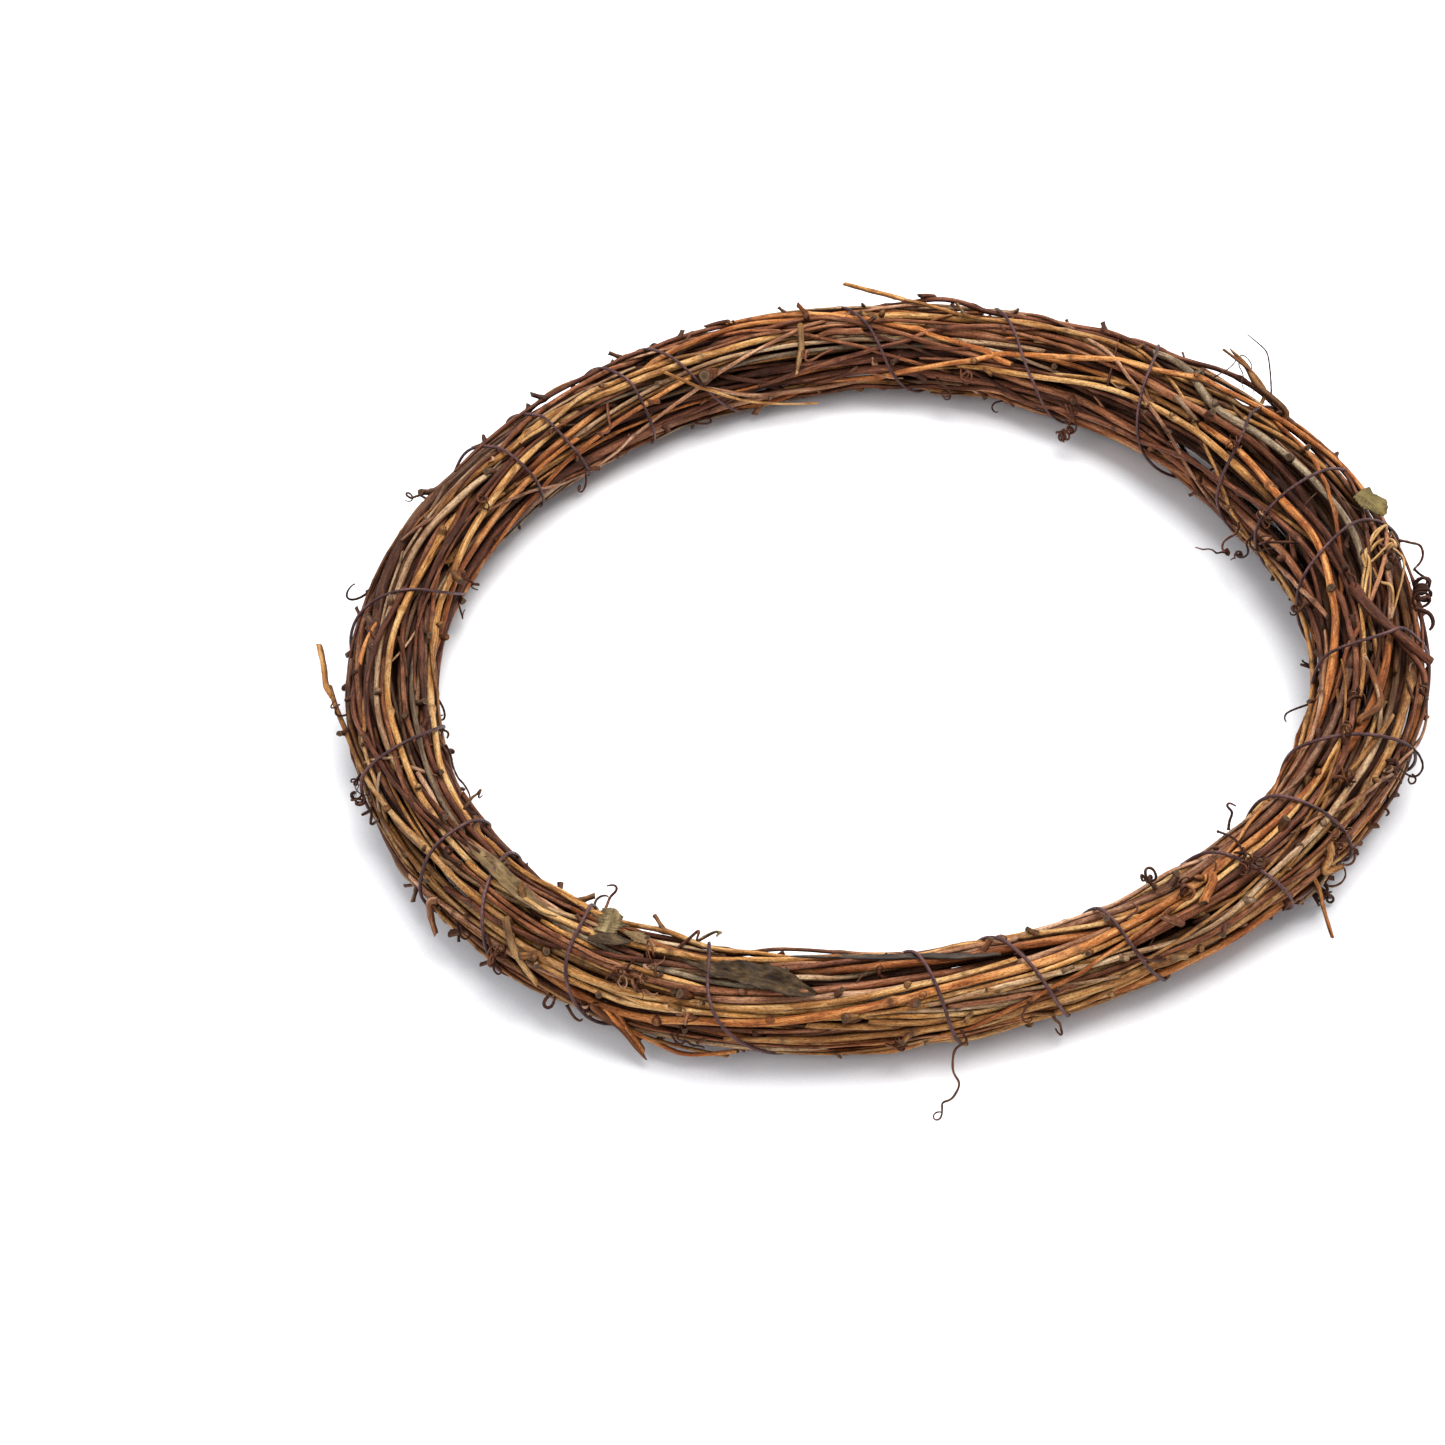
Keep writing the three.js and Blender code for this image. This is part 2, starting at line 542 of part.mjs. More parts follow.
const WIRE_SIDE = 3.4;   // canes this near along the ring bear on an edge of the wire
const WIRE_TAIL = 4.5;   // half length of its first and last edge
function buildWire() {
  const total = windings * WIRE.edges;
  const edges = [];
  for (let e = 0; e < total; e++) {
    const w = -180 + e * 360 / WIRE.edges;
    const phi = Math.PI / 2 - w * rad;
    const a = wireAngle(w);
    const spread = Math.abs(wireAngle(w + 18) - wireAngle(w - 18)) / 2 * RING_RADIUS + WIRE_SIDE;
    let s = 0;
    const middle = place(a, 0, 0);
    for (const b of balls) {
      if (b.p.distanceTo(middle) > 45) continue;
      const q = sectionOf(b.p);
      const turn = Math.atan2(Math.sin(q.a - a), Math.cos(q.a - a));
      if (Math.abs(turn) * (ringAt(a) + q.u) > spread) continue;
      if (Math.hypot(q.u, q.v) - b.r > bundleAt(q.a) + 2 * WIRE.halfThick + 0.9) continue;
      s = Math.max(s, q.u * Math.cos(phi) + q.v * Math.sin(phi) + b.r);
    }
    const bottom = e % WIRE.edges === 0;
    const onCanes = s + WIRE.halfThick + WIRE.clear;
    edges.push({ phi, w, s: bottom ? bundleAt(a) + LIFT - WIRE.halfThick : onCanes, bottom });
  }
  const cosEdge = Math.cos(EDGE);
  for (let round = 0; round < 60; round++) {
    for (let e = 1; e + 1 < total; e++) {
      const over = edges[e].s - (edges[e - 1].s + edges[e + 1].s) / (2 * cosEdge) + 0.25;
      if (over <= 0) continue;
      const near = [edges[e - 1], edges[e + 1]].filter((x) => !x.bottom);
      for (const x of near) x.s += over * cosEdge * (near.length === 1 ? 2 : 1) * 1.01;
    }
  }
  const rings = [];
  const centres = [];
  for (let e = 0; e <= total; e++) {
    const w = -195 + e * 360 / WIRE.edges;
    const left = edges[Math.max(e - 1, 0)];
    const right = edges[Math.min(e, total - 1)];
    const corner = (offset) => {
      if (left === right) {
        const tang = e === 0 ? 1 : -1;
        const h = left.s + offset;
        const half = WIRE_TAIL * tang;
        const [c, d] = [Math.cos(left.phi), Math.sin(left.phi)];
        return [h * c - half * d, h * d + half * c];
      }
      const d = Math.sin(right.phi - left.phi);
      const [p, q] = [left.s + offset, right.s + offset];
      const x = (p * Math.sin(right.phi) - q * Math.sin(left.phi)) / d;
      const y = (q * Math.cos(left.phi) - p * Math.cos(right.phi)) / d;
      return [x, y];
    };
    const a = wireAngle(w);
    const ring = [];
    for (const [thick, wide] of [[1, 1], [1, -1], [-1, -1], [-1, 1]]) {
      const [u, v] = corner(thick * WIRE.halfThick);
      const d = wide * WIRE.halfWide / (ringAt(a) + u);
      const low = bundleAt(a) - bundleAt(a + d);
      ring.push(place(a + d, u + ringAt(a) - ringAt(a + d), v + low));
    }
    rings.push(ring);
    centres.push(place(a, ...corner(0)));
  }
  rings.forEach((ring, i) => {
    const lowest = i % WIRE.edges < 2;
    ring.forEach((p, j) => {
      p.z = lowest && j < 2 ? 0 : Math.max(p.z, 0);
    });
  });
  return { mesh: tube(rings), centres };
}

// The thick dark cane's end turns outward under the wire
grow([[351, 106, 0.2], [347.5, 98, 1.8], [344.8, 85, 2], [343.2, 68, 2], [342.4, 50, 2.2],
  [342.6, 33, 2.8]], 2.4, 2.4, 6, 0.05);
const wire = buildWire();
addBalls(wire.centres, wire.centres.map(() => 0.92), null, 1.5);

// Short broken twigs and hanging pieces between the wire's turns: route, radii, sides, distance
const TWIGS = [
  [[[215.4, 22, 0], [214.8, 10, 1.8], [215.6, -4, 3.8], [216.8, -16, 6.2]], 1.6, 1.0, 4],
  [[[314.6, 2, 0], [314.2, -12, 1.6], [313.6, -20, 6], [312.8, -24, 12], [312.2, -26, 17]], 0.9, 0.7, 4],
  [[[237, 4, 0], [239.5, -14, 2], [241, -26, 5], [242.4, -34, 9]], 1.6, 1.2, 4],
  [[[25.5, 66, 0], [29, 56, 4], [32.5, 50, 8], [36, 47, 11]], 1.0, 0.6, 4],
  [[[92.5, 118, 0], [93, 136, 1.3], [93.6, 152, 1.3], [94.2, 170, 1.2]], 0.8, 0.7, 4],
  [[[304.6, 86, 0], [303.4, 78, 2.0], [302, 69, 2.4], [300.6, 60, 2.8]], 1.8, 1.7, 5, 0.1],
  [[[297, 46, 0], [297.6, 52, 2.4], [296.6, 60, 3.2], [296, 67, 3.6]], 1.4, 1.3, 4],
  [[[91, 120, 0], [89, 121, 1.7], [86.6, 122, 1.8], [84, 123, 1.6]], 1.2, 1.4, 4],
  [[[331, 64, 0], [333.5, 74, 1.6], [337, 88, 1.8], [339.6, 98, 1.6]], 0.9, 0.8, 4],
  [[[317, 30, 0], [315.6, 22, 2], [314, 16, 3], [316.4, 8, 4.4]], 1.7, 1.2, 5],
  [[[225, 46, 0], [227, 34, 1.8], [229, 18, 2], [230.6, 6, 2.2]], 1.3, 1.2, 4],
];
for (const twig of TWIGS) {
  grow(...twig);
}

// Bud stubs: short pegs pointing up and along, their root sunk into the cane
function buds(count) {
  let made = 0;
  for (let i = 0; i < count * 12 && made < count; i++) {
    const c = canes[Math.floor(rnd() * canes.length)];
    const k = 1 + Math.floor(rnd() * (c.u.length - 2));
    const t = rnd();
    const a = (c.k0 + k + t) * STEP;
    const m = k + 1;
    const u = c.u[k] * (1 - t) + c.u[m] * t;
    const v = c.v[k] * (1 - t) + c.v[m] * t;
    const p0 = place((c.k0 + k) * STEP, c.u[k], c.v[k]);
    const p1 = place((c.k0 + m) * STEP, c.u[m], c.v[m]);
    const p = p0.clone().lerp(p1, t);
    const reach = Math.hypot(u, v);
    if (reach + c.r[k] < bundleAt(a) - 1.6 || v < -0.35 * reach) continue;
    const out = new THREE.Vector3(Math.cos(a) * u / reach, Math.sin(a) * u / reach, v / reach);
    const ahead = p1.clone().sub(p0).normalize().multiplyScalar(between(-1, 1) < 0 ? -1 : 1);
    const size = between(0.8, 1.25);
    const foot = p.clone().addScaledVector(out, c.r[k] + 0.5).addScaledVector(ahead, 0.8);
    const end = p.clone().addScaledVector(out, c.r[k] + between(1.5, 2.8));
    const path = [p.clone(), foot, end.addScaledVector(ahead, between(1.6, 3.2))];
    if (Math.min(...path.map((q) => roomAt(q, size, c))) < 0.3) continue;
    if (roomAt(path[1].clone().lerp(path[2], 0.5), size, c) < 0.3) continue;
    extras.get(c).push(shoot(path, size, size * 0.6, 4));
    addBalls(path.slice(1), [size, size * 0.6], null, 1);
    made++;
  }
}

// Curling tendrils: [ring angle, section angle, heading, length, curl radius, turns, lean outward]
const TENDRILS = [
  [51, 178, 200, 13, 2.6, 2.0], [13, 170, 150, 12, 2.4, 1.6], [336, -4, -60, 12, 3.2, 1.2],
  [312, 140, 100, 10, 2.2, 1.4], [299, 138, 60, 9, 2.4, 2.0], [290, 136, 100, 8, 2.2, 1.5],
  [314, -8, -40, 13, 3.0, 1.6], [275.4, 4, -70, 26, 2.4, 1.0, 68], [209, 148, 130, 12, 2.4, 1.2],
  [356, 20, -30, 15, 2.8, 2.4], [235, 84, 70, 9, 3.0, 2.2], [196, 0, -70, 14, 3.2, 1.3],
  [283, -20, -60, 10, 2.2, 1.2], [230, -14, -70, 11, 2.4, 1.6], [161, 168, 120, 10, 2.4, 1.3],
  [73, 178, 160, 15, 2.8, 1.8], [241, 46, 20, 8, 2.8, 2.0], [327, 76, 60, 9, 3.0, 2.0],
  [150, 24, 10, 10, 2.6, 1.4], [110, 20, -20, 11, 2.6, 1.6], [352, 150, 150, 9, 2.2, 1.5],
];

function tendril(list) {
  const [deg, phi, heading, length, curl, turns, lean = 12] = list;
  for (let shift = 0; shift < 10; shift++) {
    const d = deg + (shift % 2 ? 1 : -1) * Math.ceil(shift / 2) * 1.3;
    const root = surface(d, phi, 0);
    const host = hostAt(root);
    const base = sectionOf(host.p);
    const a = base.a;
    const reach = Math.hypot(base.u, base.v);
    const side = base.u / reach;
    const out = new THREE.Vector3(Math.cos(a) * side, Math.sin(a) * side, base.v / reach);
    const tang = new THREE.Vector3(-Math.sin(a), Math.cos(a), 0);
    const cross = out.clone().cross(tang);
    const go = tang.clone().multiplyScalar(Math.cos(heading * rad));
    go.addScaledVector(cross, Math.sin(heading * rad));
    const flat = go.clone().cross(out);
    for (let up = 0; up < 4; up += 0.8) {
      const rise = bundleAt(a) - reach + 1.2 + up;
      const path = [host.p.clone(), host.p.clone().addScaledVector(out, Math.max(rise, host.r + 1))];
      const straight = Math.max(0, length - turns * curl * 2.2);
      const base2 = path[1];
      const n1 = 2;
      for (let i = 1; i <= n1; i++) {
        const p = base2.clone().addScaledVector(go, straight * Math.cos(lean * rad) * i / n1);
        path.push(p.addScaledVector(out, straight * Math.sin(lean * rad) * i / n1 + 0.3 * i));
      }
      const centre = path[path.length - 1].clone().addScaledVector(out, curl * 0.8);
      const steps = Math.round(turns * 6);
      for (let i = 1; i <= steps; i++) {
        const w = i / 6 * 2 * Math.PI;
        const size = curl * (1 - 0.35 * i / steps) * 0.8;
        const p = centre.clone().addScaledVector(out, -size * Math.cos(w));
        p.addScaledVector(go, size * Math.sin(w) + 0.2 * i);
        path.push(p.addScaledVector(flat, 1.9 * i / 6 + 0.3));
      }
      let ok = path.every((p) => p.z > TENDRIL_RADIUS + 0.3);
      for (let i = 0; i + 1 < path.length && ok; i++) {
        for (let j = 0; j <= 3 && ok; j++) {
          ok = roomAt(path[i].clone().lerp(path[i + 1], j / 3), TENDRIL_RADIUS, host.c) > 0.3;
        }
        if (ok && i > 1) {
          const q = path[i + 1];
          ok = host.p.distanceTo(q) > host.r + 1;
        }
      }
      if (!ok) continue;
      extras.get(host.c).push(shoot(path, TENDRIL_RADIUS * 1.1, TENDRIL_RADIUS * 0.85, 3));
      addBalls(path.slice(1), path.slice(1).map(() => TENDRIL_RADIUS), null, 1.5);
      return;
    }
  }
}
for (const list of TENDRILS) {
  tendril(list);
}

// Dry leaves and bark: length, width and bend of a thin plate laid over the canes
function leafMesh(l, up) {
  const [deg, phi, heading] = l.at;
  const a = deg * rad;
  const root = surface(deg, phi, up);
  const level = Math.cos(phi * rad);
  const radial = new THREE.Vector3(Math.cos(a) * level, Math.sin(a) * level, Math.sin(phi * rad));
  const tang = new THREE.Vector3(-Math.sin(a), Math.cos(a), 0);
  const cross = radial.clone().cross(tang);
  const go = tang.clone().multiplyScalar(Math.cos(heading * rad));
  go.addScaledVector(cross, Math.sin(heading * rad));
  const wide = radial.clone().cross(go);
  const grid = [];
  const across = 3;
  for (let i = 0; i <= l.cells; i++) {
    const t = i / l.cells;
    const taper = 0.16 + 0.84 * Math.sin(Math.PI * Math.min(1, t * 0.92 + 0.06)) ** 0.7;
    const half = l.width / 2 * taper * (1 + 0.13 * Math.cos(i * 2.4 + l.cells));
    const row = [];
    for (let j = 0; j <= across; j++) {
      const s = (j / across) * 2 - 1;
      const x = (t - 0.5) * l.length;
      const y = s * half + l.bow * Math.sin(Math.PI * t);
      const rise = l.curl * (t - 0.3) * Math.abs(t - 0.3) * l.length;
      const bend = l.fold * Math.abs(s) * half - l.hug * y * y / 40;
      const z = rise + bend + 0.35 * Math.sin(i * 1.9 + j * 2.1);
      const p = root.clone().addScaledVector(go, x).addScaledVector(wide, y);
      row.push(p.addScaledVector(radial, z));
    }
    grid.push(row);
  }
  const rows = grid.length;
  const cols = across + 1;
  const normal = (i, j) => {
    const p = grid[Math.min(i + 1, rows - 1)][j].clone().sub(grid[Math.max(i - 1, 0)][j]);
    const q = grid[i][Math.min(j + 1, cols - 1)].clone().sub(grid[i][Math.max(j - 1, 0)]);
    return p.cross(q).normalize();
  };
  const xyz = [];
  for (const side of [0.5, -0.5]) {
    for (let i = 0; i < rows; i++) {
      for (let j = 0; j < cols; j++) {
        const p = grid[i][j].clone().addScaledVector(normal(i, j), side * LEAF_THICK);
        xyz.push(p.x, p.y, p.z);
      }
    }
  }
  const tri = [];
  const half = rows * cols;
  for (let i = 0; i + 1 < rows; i++) {
    for (let j = 0; j + 1 < cols; j++) {
      const p = i * cols + j;
      const [q, r, s] = [p + 1, p + cols, p + cols + 1];
      tri.push(p, r, q, q, r, s);
      tri.push(p + half, q + half, r + half, q + half, s + half, r + half);
    }
  }
  const rim = [];
  for (let j = 0; j < cols - 1; j++) {
    rim.push(j);
  }
  for (let i = 0; i < rows - 1; i++) {
    rim.push(i * cols + cols - 1);
  }
  for (let j = cols - 1; j > 0; j--) {
    rim.push((rows - 1) * cols + j);
  }
  for (let i = rows - 1; i > 0; i--) {
    rim.push(i * cols);
  }
  rim.forEach((p, i) => {
    const q = rim[(i + 1) % rim.length];
    tri.push(p, q, p + half, q, q + half, p + half);
  });
  return { mesh: outward({ xyz, tri }), grid };
}

const LEAVES = [
  { name: 'dry_leaf_long', at: [221, 92, 4], length: 30, width: 11,
    cells: 10, bow: 1.5, fold: 0.35, curl: 0.5, hug: 1.0, colour: 0x8a7650 },
  { name: 'dry_leaf_upright', at: [234.2, 112, 58], length: 15, width: 10,
    cells: 7, bow: 0.6, fold: 0.5, curl: 0.7, hug: 0.4, colour: 0x9b8a63 },
  { name: 'dry_leaf_dark', at: [252.4, 75, 6], length: 38, width: 11,
    cells: 10, bow: -0.6, fold: 0.3, curl: 0.1, hug: 1.4, colour: 0x6a5636 },
  { name: 'dry_leaf_small', at: [4.4, 66, 30], length: 13, width: 7,
    cells: 6, bow: 0.6, fold: 0.3, curl: 0.6, hug: 1.0, press: 0.9, colour: 0x77704a },
  { name: 'bark_strip', at: [266, 112, -5], length: 58, width: 4.2,
    cells: 13, bow: -2.4, fold: 0.3, curl: 0.05, hug: 1.0, colour: 0x4c4038 },
];

function layLeaf(l) {
  for (let up = 0; up < 16; up += 0.1) {
    const { mesh, grid } = leafMesh(l, up);
    let least = Infinity;
    for (const row of grid) {
      row.forEach((p, j) => {
        least = Math.min(least, roomAt(p, LEAF_THICK * 0.55));
        if (j) least = Math.min(least, roomAt(p.clone().lerp(row[j - 1], 0.5), LEAF_THICK * 0.55));
      });
    }
    if (least < 0.06) continue;
    for (const p of grid.flat()) {
      balls.push({ p, r: LEAF_THICK * 0.8, owner: null });
    }
    return l.press ? leafMesh(l, up - l.press).mesh : mesh;
  }
  throw new Error(`no room for ${l.name}`);
}
const leaves = LEAVES.map((l) => [l, layLeaf(l)]);
buds(34);

// Straw tuft: fine dry stalks held together at their foot
const STRAW_ROUTE = [[5.5, 58, 0.9], [2.2, 63, 1.4], [-1.5, 71, 1.8], [-5, 80, 1.4]];
const MORE_STRAWS = [
  [[5.2, 59, 1.0], [2.6, 60, 2.4], [0.4, 64, 3.4], [-2, 66, 4.2]],
  [[5.4, 58, 1.0], [7.6, 48, 2.2], [9.2, 38, 3.4], [10.6, 30, 4.8]],
  [[5.2, 58, 1.1], [3.4, 52, 3.0], [1.4, 49, 4.6]],
];
function straws() {
  const raised = (route, up) => route.map(([deg, phi, out]) => surface(deg, phi, out + up));
  const quarters = [0, 0.25, 0.5, 0.75, 1];
  const free = (p, q) => quarters.every((t) => roomAt(p.clone().lerp(q, t), 0.75) > 0.02);
  const lies = (path) => path.slice(1).every((q, i) => free(path[i], q));
  let up = 0.2;
  while (!lies(raised(STRAW_ROUTE, up))) {
    up += 0.1;
  }
  let solid = toSolid(shoot(raised(STRAW_ROUTE, up), 0.85, 0.65, 4));
  for (const route of MORE_STRAWS) {
    const path = raised(route, up);
    if (path.some((q, i) => i > 0 && roomAt(q, 0.7) < 0.2)) continue;
    solid = solid.add(toSolid(shoot(path, 0.7, 0.55, 4)));
  }
  return fromSolid(solid);
}

// Nodes
const group = new THREE.Group();
group.name = 'grapevine_wreath';

function addNode(name, mesh, colour, roughness = 0.85) {
  const g = new THREE.BufferGeometry();
  g.setAttribute('position', new THREE.Float32BufferAttribute(mesh.xyz, 3));
  g.setIndex(mesh.tri);
  g.computeVertexNormals();
  const look = new THREE.MeshStandardMaterial({ color: colour, roughness, metalness: 0 });
  const node = new THREE.Mesh(g, look);
  node.name = name;
  group.add(node);
}

canes.forEach((c, i) => {
  let mesh = tube(caneRings(c));
  const more = extras.get(c);
  if (more.length) {
    let solid = toSolid(mesh);
    for (const m of more) {
      solid = solid.add(toSolid(m));
    }
    mesh = fromSolid(solid);
  }
  addNode(`cane_${String(i + 1).padStart(2, '0')}`, mesh, COLOURS[c.colour]);
});
addNode('binding_wire', wire.mesh, 0x4a3238, 0.6);
for (const [l, mesh] of leaves) {
  addNode(l.name, mesh, l.colour, 0.9);
}
addNode('straw_tuft', straws(), 0xc2a26a, 0.9);

// The middle of the whole at the origin, the wire's undersides on z = 0
const box = new THREE.Box3().setFromObject(group);
const shift = [(box.min.x + box.max.x) / 2, (box.min.y + box.max.y) / 2];
for (const node of group.children) {
  node.geometry.translate(-shift[0], -shift[1], 0);
}

export default group;
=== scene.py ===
import itertools
import json
import math
import random

import bpy
import numpy as np
from mathutils import Matrix, Vector
from mathutils.kdtree import KDTree


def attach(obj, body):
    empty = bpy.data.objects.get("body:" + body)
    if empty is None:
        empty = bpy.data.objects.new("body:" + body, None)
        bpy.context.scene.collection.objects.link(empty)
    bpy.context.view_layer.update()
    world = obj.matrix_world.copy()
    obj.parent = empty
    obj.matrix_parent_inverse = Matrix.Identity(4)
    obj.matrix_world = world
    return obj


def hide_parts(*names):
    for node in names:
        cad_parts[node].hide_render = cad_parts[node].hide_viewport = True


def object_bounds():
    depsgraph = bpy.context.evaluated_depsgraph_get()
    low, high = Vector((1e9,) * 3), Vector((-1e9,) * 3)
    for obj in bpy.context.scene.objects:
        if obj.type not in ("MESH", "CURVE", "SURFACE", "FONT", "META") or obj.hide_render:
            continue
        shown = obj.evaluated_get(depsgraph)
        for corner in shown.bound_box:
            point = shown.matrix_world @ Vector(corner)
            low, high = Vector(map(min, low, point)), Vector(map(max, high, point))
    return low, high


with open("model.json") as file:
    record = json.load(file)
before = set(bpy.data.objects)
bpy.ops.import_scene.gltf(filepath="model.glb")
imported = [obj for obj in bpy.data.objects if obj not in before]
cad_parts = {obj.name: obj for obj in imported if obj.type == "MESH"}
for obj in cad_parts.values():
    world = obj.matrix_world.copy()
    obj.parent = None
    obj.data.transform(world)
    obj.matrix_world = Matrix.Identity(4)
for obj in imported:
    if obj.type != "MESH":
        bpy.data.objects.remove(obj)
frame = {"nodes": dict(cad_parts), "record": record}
cad_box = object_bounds()
nodes = frame["nodes"]
SLOT_OF = {s["node"]: s["material_slot"] for s in frame["record"]["subparts"]}

# The ring
MM = 0.001
# Its angle runs from +x towards +y, the section angle from 0 outside over 90 on top to 180 inside.
# Waves have a number round the ring, a cosine and a sine part in mm.
CENTRE = np.array([-3.3892288, 6.8367310, 0.0]) * MM
RING_RADIUS = 181 * MM
RING_WAVES = ((2, 1.4, 0.0), (3, 0.7, -3.0), (4, -0.3, -2.0))
BUNDLE_RADIUS = 18.4 * MM
BUNDLE_WAVES = ((1, 2.3, 1.6), (2, 1.8, 0.6), (3, 1.3, 0.4))
LIFT = 1.8 * MM
# The frame's canes have COARSE stations round the ring, the finished ones FINE
COARSE = 36
FINE = 180
FINE_STEP = 2 * math.pi / FINE
PER = FINE // COARSE


def waves(base, table, a):
    total = base + 0 * a
    for n, c, s in table:
        total = total + MM * (c * np.cos(n * a) + s * np.sin(n * a))
    return total


def ring_at(a):
    return waves(RING_RADIUS, RING_WAVES, a)


def bundle_at(a):
    return waves(BUNDLE_RADIUS, BUNDLE_WAVES, a)


def place(a, u, v):
    """Point at ring angle a, u outwards and v up from the bundle's middle line."""
    d = ring_at(a) + u
    return np.stack([d * np.cos(a), d * np.sin(a), bundle_at(a) + LIFT + v], -1) + CENTRE


def section_of(p):
    """The ring angle of p, and how far it lies outwards and up from the bundle's middle line."""
    q = p - CENTRE
    a = np.arctan2(q[..., 1], q[..., 0])
    return a, np.hypot(q[..., 0], q[..., 1]) - ring_at(a), q[..., 2] - bundle_at(a) - LIFT


def surface(deg, phi, out):
    """Point over the bundle: ring and section angle in degrees, height in mm."""
    a = np.radians(deg)
    reach = bundle_at(a) + out * MM
    return place(a, reach * np.cos(np.radians(phi)), reach * np.sin(np.radians(phi)))


def unit(v):
    v = np.asarray(v, float)
    return v / (np.linalg.norm(v, axis=-1, keepdims=True) + 1e-15)


def outward_at(p):
    """Unit vector away from the bundle's middle line."""
    a, u, v = section_of(p)
    return unit(np.stack([np.cos(a) * u, np.sin(a) * u, v], -1))


def onward_at(p):
    """Unit vector along the ring."""
    a = section_of(p)[0]
    return np.stack([-np.sin(a), np.cos(a), 0 * a], -1)


def bell(x, wide):
    return np.exp(-(x / wide) ** 2)


def smooth_line(p, per):
    """Points of a curve through p, per steps between each two."""
    p = np.asarray(p, float)
    q = np.concatenate([2 * p[:1] - p[1:2], p, 2 * p[-1:] - p[-2:-1]])
    steps = np.arange((len(p) - 1) * per)
    t = (steps % per / per)[:, None]
    a, b, c, d = (q[steps // per + k] for k in range(4))
    out = 2 * b + (c - a) * t
    out = out + (2 * a - 5 * b + 4 * c - d) * t ** 2 + (3 * b - a - 3 * c + d) * t ** 3
    return np.concatenate([0.5 * out, p[-1:]])


def eased(points, n):
    """The same number of points, each the mean of its neighbours within a bell n steps wide."""
    share = bell(np.arange(-2 * n, 2 * n + 1), n)
    wide = np.concatenate([np.repeat(points[:1], 2 * n, 0), points, np.repeat(points[-1:], 2 * n, 0)])
    return np.stack([np.convolve(wide[:, k], share / share.sum(), "valid") for k in range(3)], 1)


def lengths(p):
    """The length of a line from its start to each of its points."""
    return np.concatenate([[0], np.cumsum(np.linalg.norm(np.diff(p, axis=0), axis=1))])


def points_at(t, s, p):
    """Points of the line p, which has lengths s, at the lengths t."""
    return np.stack([np.interp(t, s, p[:, k]) for k in range(3)], 1)


def profile(line, *stops):
    """A value for each point of a line, from places between 0 and 1 and their values."""
    at, values = zip(*stops)
    return np.interp(np.linspace(0, 1, len(line)), at, values)


# Reading the frame's meshes

# How close corners count as one, how near a station's plane its corners lie, least and most radius of
# a section, how far outside its cane a shoot begins, and the most that one spreads
SAME_CORNER = 2e-6
ON_STATION = 6e-5
SECTION_SIZES = (0.7 * MM, 3.8 * MM)
CLEAR_OF_CANE = 0.06 * MM
THICKEST_SHOOT = 1.4 * MM
FAR = 1e9


def mesh_of(node):
    """The corners of a node's mesh, each kept once, and its triangles."""
    me = node.data
    v = np.empty(len(me.vertices) * 3)
    me.vertices.foreach_get("co", v)
    v = v.reshape(-1, 3)
    me.calc_loop_triangles()
    t = np.empty(len(me.loop_triangles) * 3, dtype=np.int64)
    me.loop_triangles.foreach_get("vertices", t)
    cells = np.round(v / SAME_CORNER).astype(np.int64)
    _, first, same = np.unique(cells, axis=0, return_index=True, return_inverse=True)
    t = same.reshape(-1)[t].reshape(-1, 3)
    t = t[(t[:, 0] != t[:, 1]) & (t[:, 1] != t[:, 2]) & (t[:, 0] != t[:, 2])]
    return v[first], t


def neighbours(count, tris):
    """For each corner, the corners joined to it."""
    near = [set() for _ in range(count)]
    for a, b, c in tris.tolist():
        near[a].update((b, c))
        near[b].update((a, c))
        near[c].update((a, b))
    return near


def layers_from(first, near):
    """The first corners, then the corners joined to them, and so on to the farthest."""
    seen, layers = set(first), [list(first)]
    while layers[-1]:
        layers.append(sorted({j for i in layers[-1] for j in near[i] if j not in seen}))
        seen |= set(layers[-1])
    return layers[:-1]


def most_regular(rows, u, v, sides):
    """The corners of one regular section among more points."""
    best, score = rows, FAR
    least, most = SECTION_SIZES
    for r in itertools.combinations(rows, sides):
        r = list(r)
        d = np.hypot(u[r] - u[r].mean(), v[r] - v[r].mean())
        if least < d.mean() < most and d.std() / d.mean() < score:
            best, score = r, d.std() / d.mean()
    return best


